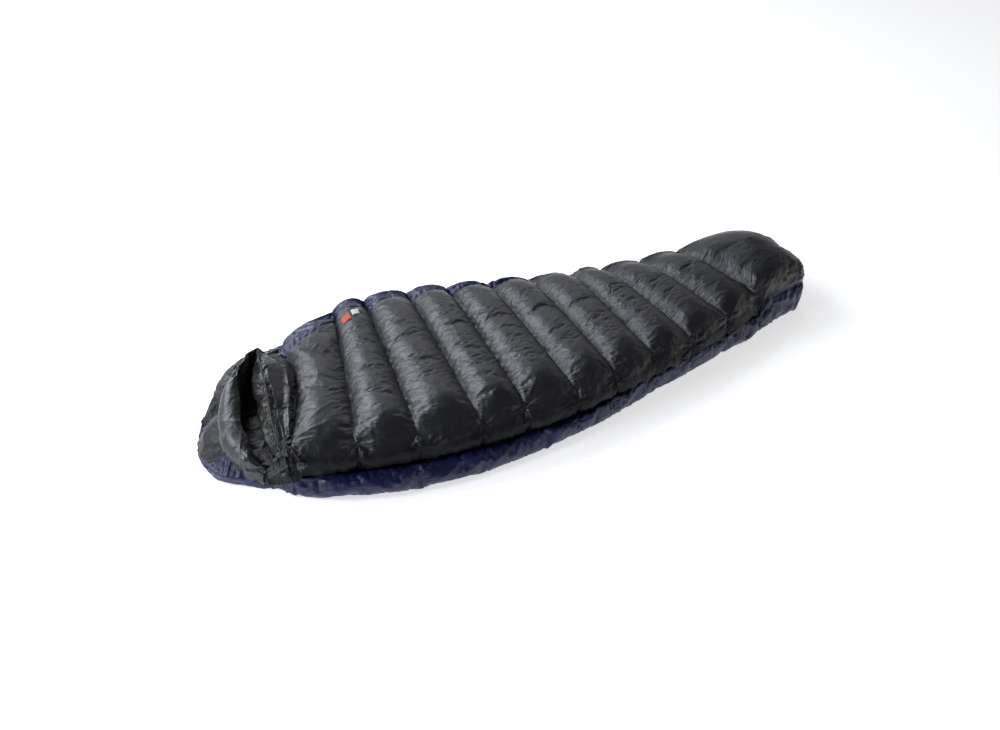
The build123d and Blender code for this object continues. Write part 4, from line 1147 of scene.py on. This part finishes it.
o1 = patch_on_cover("label_patch_red", 1.24, 58, 34, 34, M_LABEL_RED, 1, tilt=8)
o2 = patch_on_cover("label_patch_pale", 1.55, 44, 34, 24, M_LABEL, 2, tilt=8)
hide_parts("label_patch")

# ------------------------------------------------------------------ finishes for the kept CAD nodes
SLOT_MAT = {"shell_black": M_BLACK, "shell_navy": M_NAVY, "lining": M_LINING, "zip_tape": M_TAPE, "zip_coil": M_COIL, "zip_metal": M_METAL,
            "cord": M_CORD, "cord_lock_plastic": M_LOCK, "spring_steel": M_STEEL, "label_weave": M_LABEL}
KEEP = {"zip_tape_lower": M_TAPE, "zip_tape_upper": M_TAPE, "anti_snag_tape": M_TAPE, "zip_top_stop": M_METAL, "zip_bottom_stop": M_METAL, "zip_slider": M_METAL,
        "zip_pull_tab": M_METAL, "cord_lock_body": M_LOCK, "cord_lock_button": M_LOCK, "cord_lock_spring": M_STEEL}
for nm, mt in KEEP.items():
    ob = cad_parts[nm]
    for sl_ in ob.material_slots:
        sl_.material = mt
    if not ob.material_slots:
        ob.data.materials.append(mt)
# ------------------------------------------------------------------ floor, light, camera
import bmesh


def camera():
    az, el, roll = math.radians(-28.761), math.radians(35.002), math.radians(3.569)
    back = Vector((math.sin(az) * math.cos(el), -math.cos(az) * math.cos(el), math.sin(el)))
    T = Vector((-0.0378 - OX / 1000, -0.0135 - OY / 1000, 0.072))
    C = T + back * 3.8934
    r = Vector((math.cos(az), math.sin(az), 0))
    u = back.cross(r)
    r2 = r * math.cos(roll) + u * math.sin(roll)
    u2 = -r * math.sin(roll) + u * math.cos(roll)
    cd = bpy.data.cameras.new("camera")
    cd.sensor_width = 36.0
    cd.lens = 1296.02 * 36 / 1000
    cd.clip_end = 60
    ob = bpy.data.objects.new("camera", cd)
    scene.collection.objects.link(ob)
    M = Matrix((r2, u2, back)).transposed().to_4x4()
    M.translation = C
    ob.matrix_world = M
    scene.camera = ob


camera()
me = bpy.data.meshes.new("floor")
me.from_pydata([(-60, -60, 0), (60, -60, 0), (60, 60, 0), (-60, 60, 0)], [], [(0, 1, 2, 3)])
floor = bpy.data.objects.new("floor", me)
scene.collection.objects.link(floor)
fm = bpy.data.materials.new("floor_white")
N, Lk = nodes_of(fm)
N["Principled BSDF"].inputs["Base Color"].default_value = (0.93, 0.93, 0.93, 1)
N["Principled BSDF"].inputs["Roughness"].default_value = 0.9
N["Principled BSDF"].inputs["Specular IOR Level"].default_value = 0.1
N["Principled BSDF"].inputs["Emission Color"].default_value = (1, 1, 1, 1)
N["Principled BSDF"].inputs["Emission Strength"].default_value = 0.62
me.materials.append(fm)

wd = bpy.data.worlds.new("world")
scene.world = wd
wd.use_nodes = True
bg = wd.node_tree.nodes["Background"]
bg.inputs["Color"].default_value = (1, 1, 1, 1)
# a pale backdrop near the horizon, darker above
wt = wd.node_tree
wc, wx, wm = wt.nodes.new("ShaderNodeTexCoord"), wt.nodes.new("ShaderNodeSeparateXYZ"), wt.nodes.new("ShaderNodeMapRange")
wm.inputs["From Min"].default_value = 0.28
wm.inputs["From Max"].default_value = 0.50
wm.inputs["To Min"].default_value = 0.55
wm.inputs["To Max"].default_value = 0.07
wt.links.new(wc.outputs["Generated"], wx.inputs[0])
wt.links.new(wx.outputs["Z"], wm.inputs["Value"])
wt.links.new(wm.outputs[0], bg.inputs["Strength"])


def area(name, loc, size, power, target=(0, 0, 0.1)):
    ld = bpy.data.lights.new(name, "AREA")
    ld.shape = "RECTANGLE"
    ld.size, ld.size_y = size
    ld.energy = power
    ld.color = (0.87, 0.91, 1.0)
    ob = bpy.data.objects.new(name, ld)
    scene.collection.objects.link(ob)
    ob.location = loc
    d = Vector(target) - Vector(loc)
    ob.rotation_euler = d.to_track_quat("-Z", "Y").to_euler()
    return ob


area("key", (-1.6, 2.3, 2.4), (2.6, 2.0), 124)
area("back", (1.4, 3.2, 2.4), (2.2, 0.9), 14)
area("side", (-2.95, -0.3, 1.8), (1.1, 0.9), 46, (-0.9, -0.05, 0.12))
scene.view_settings.view_transform = "Standard"
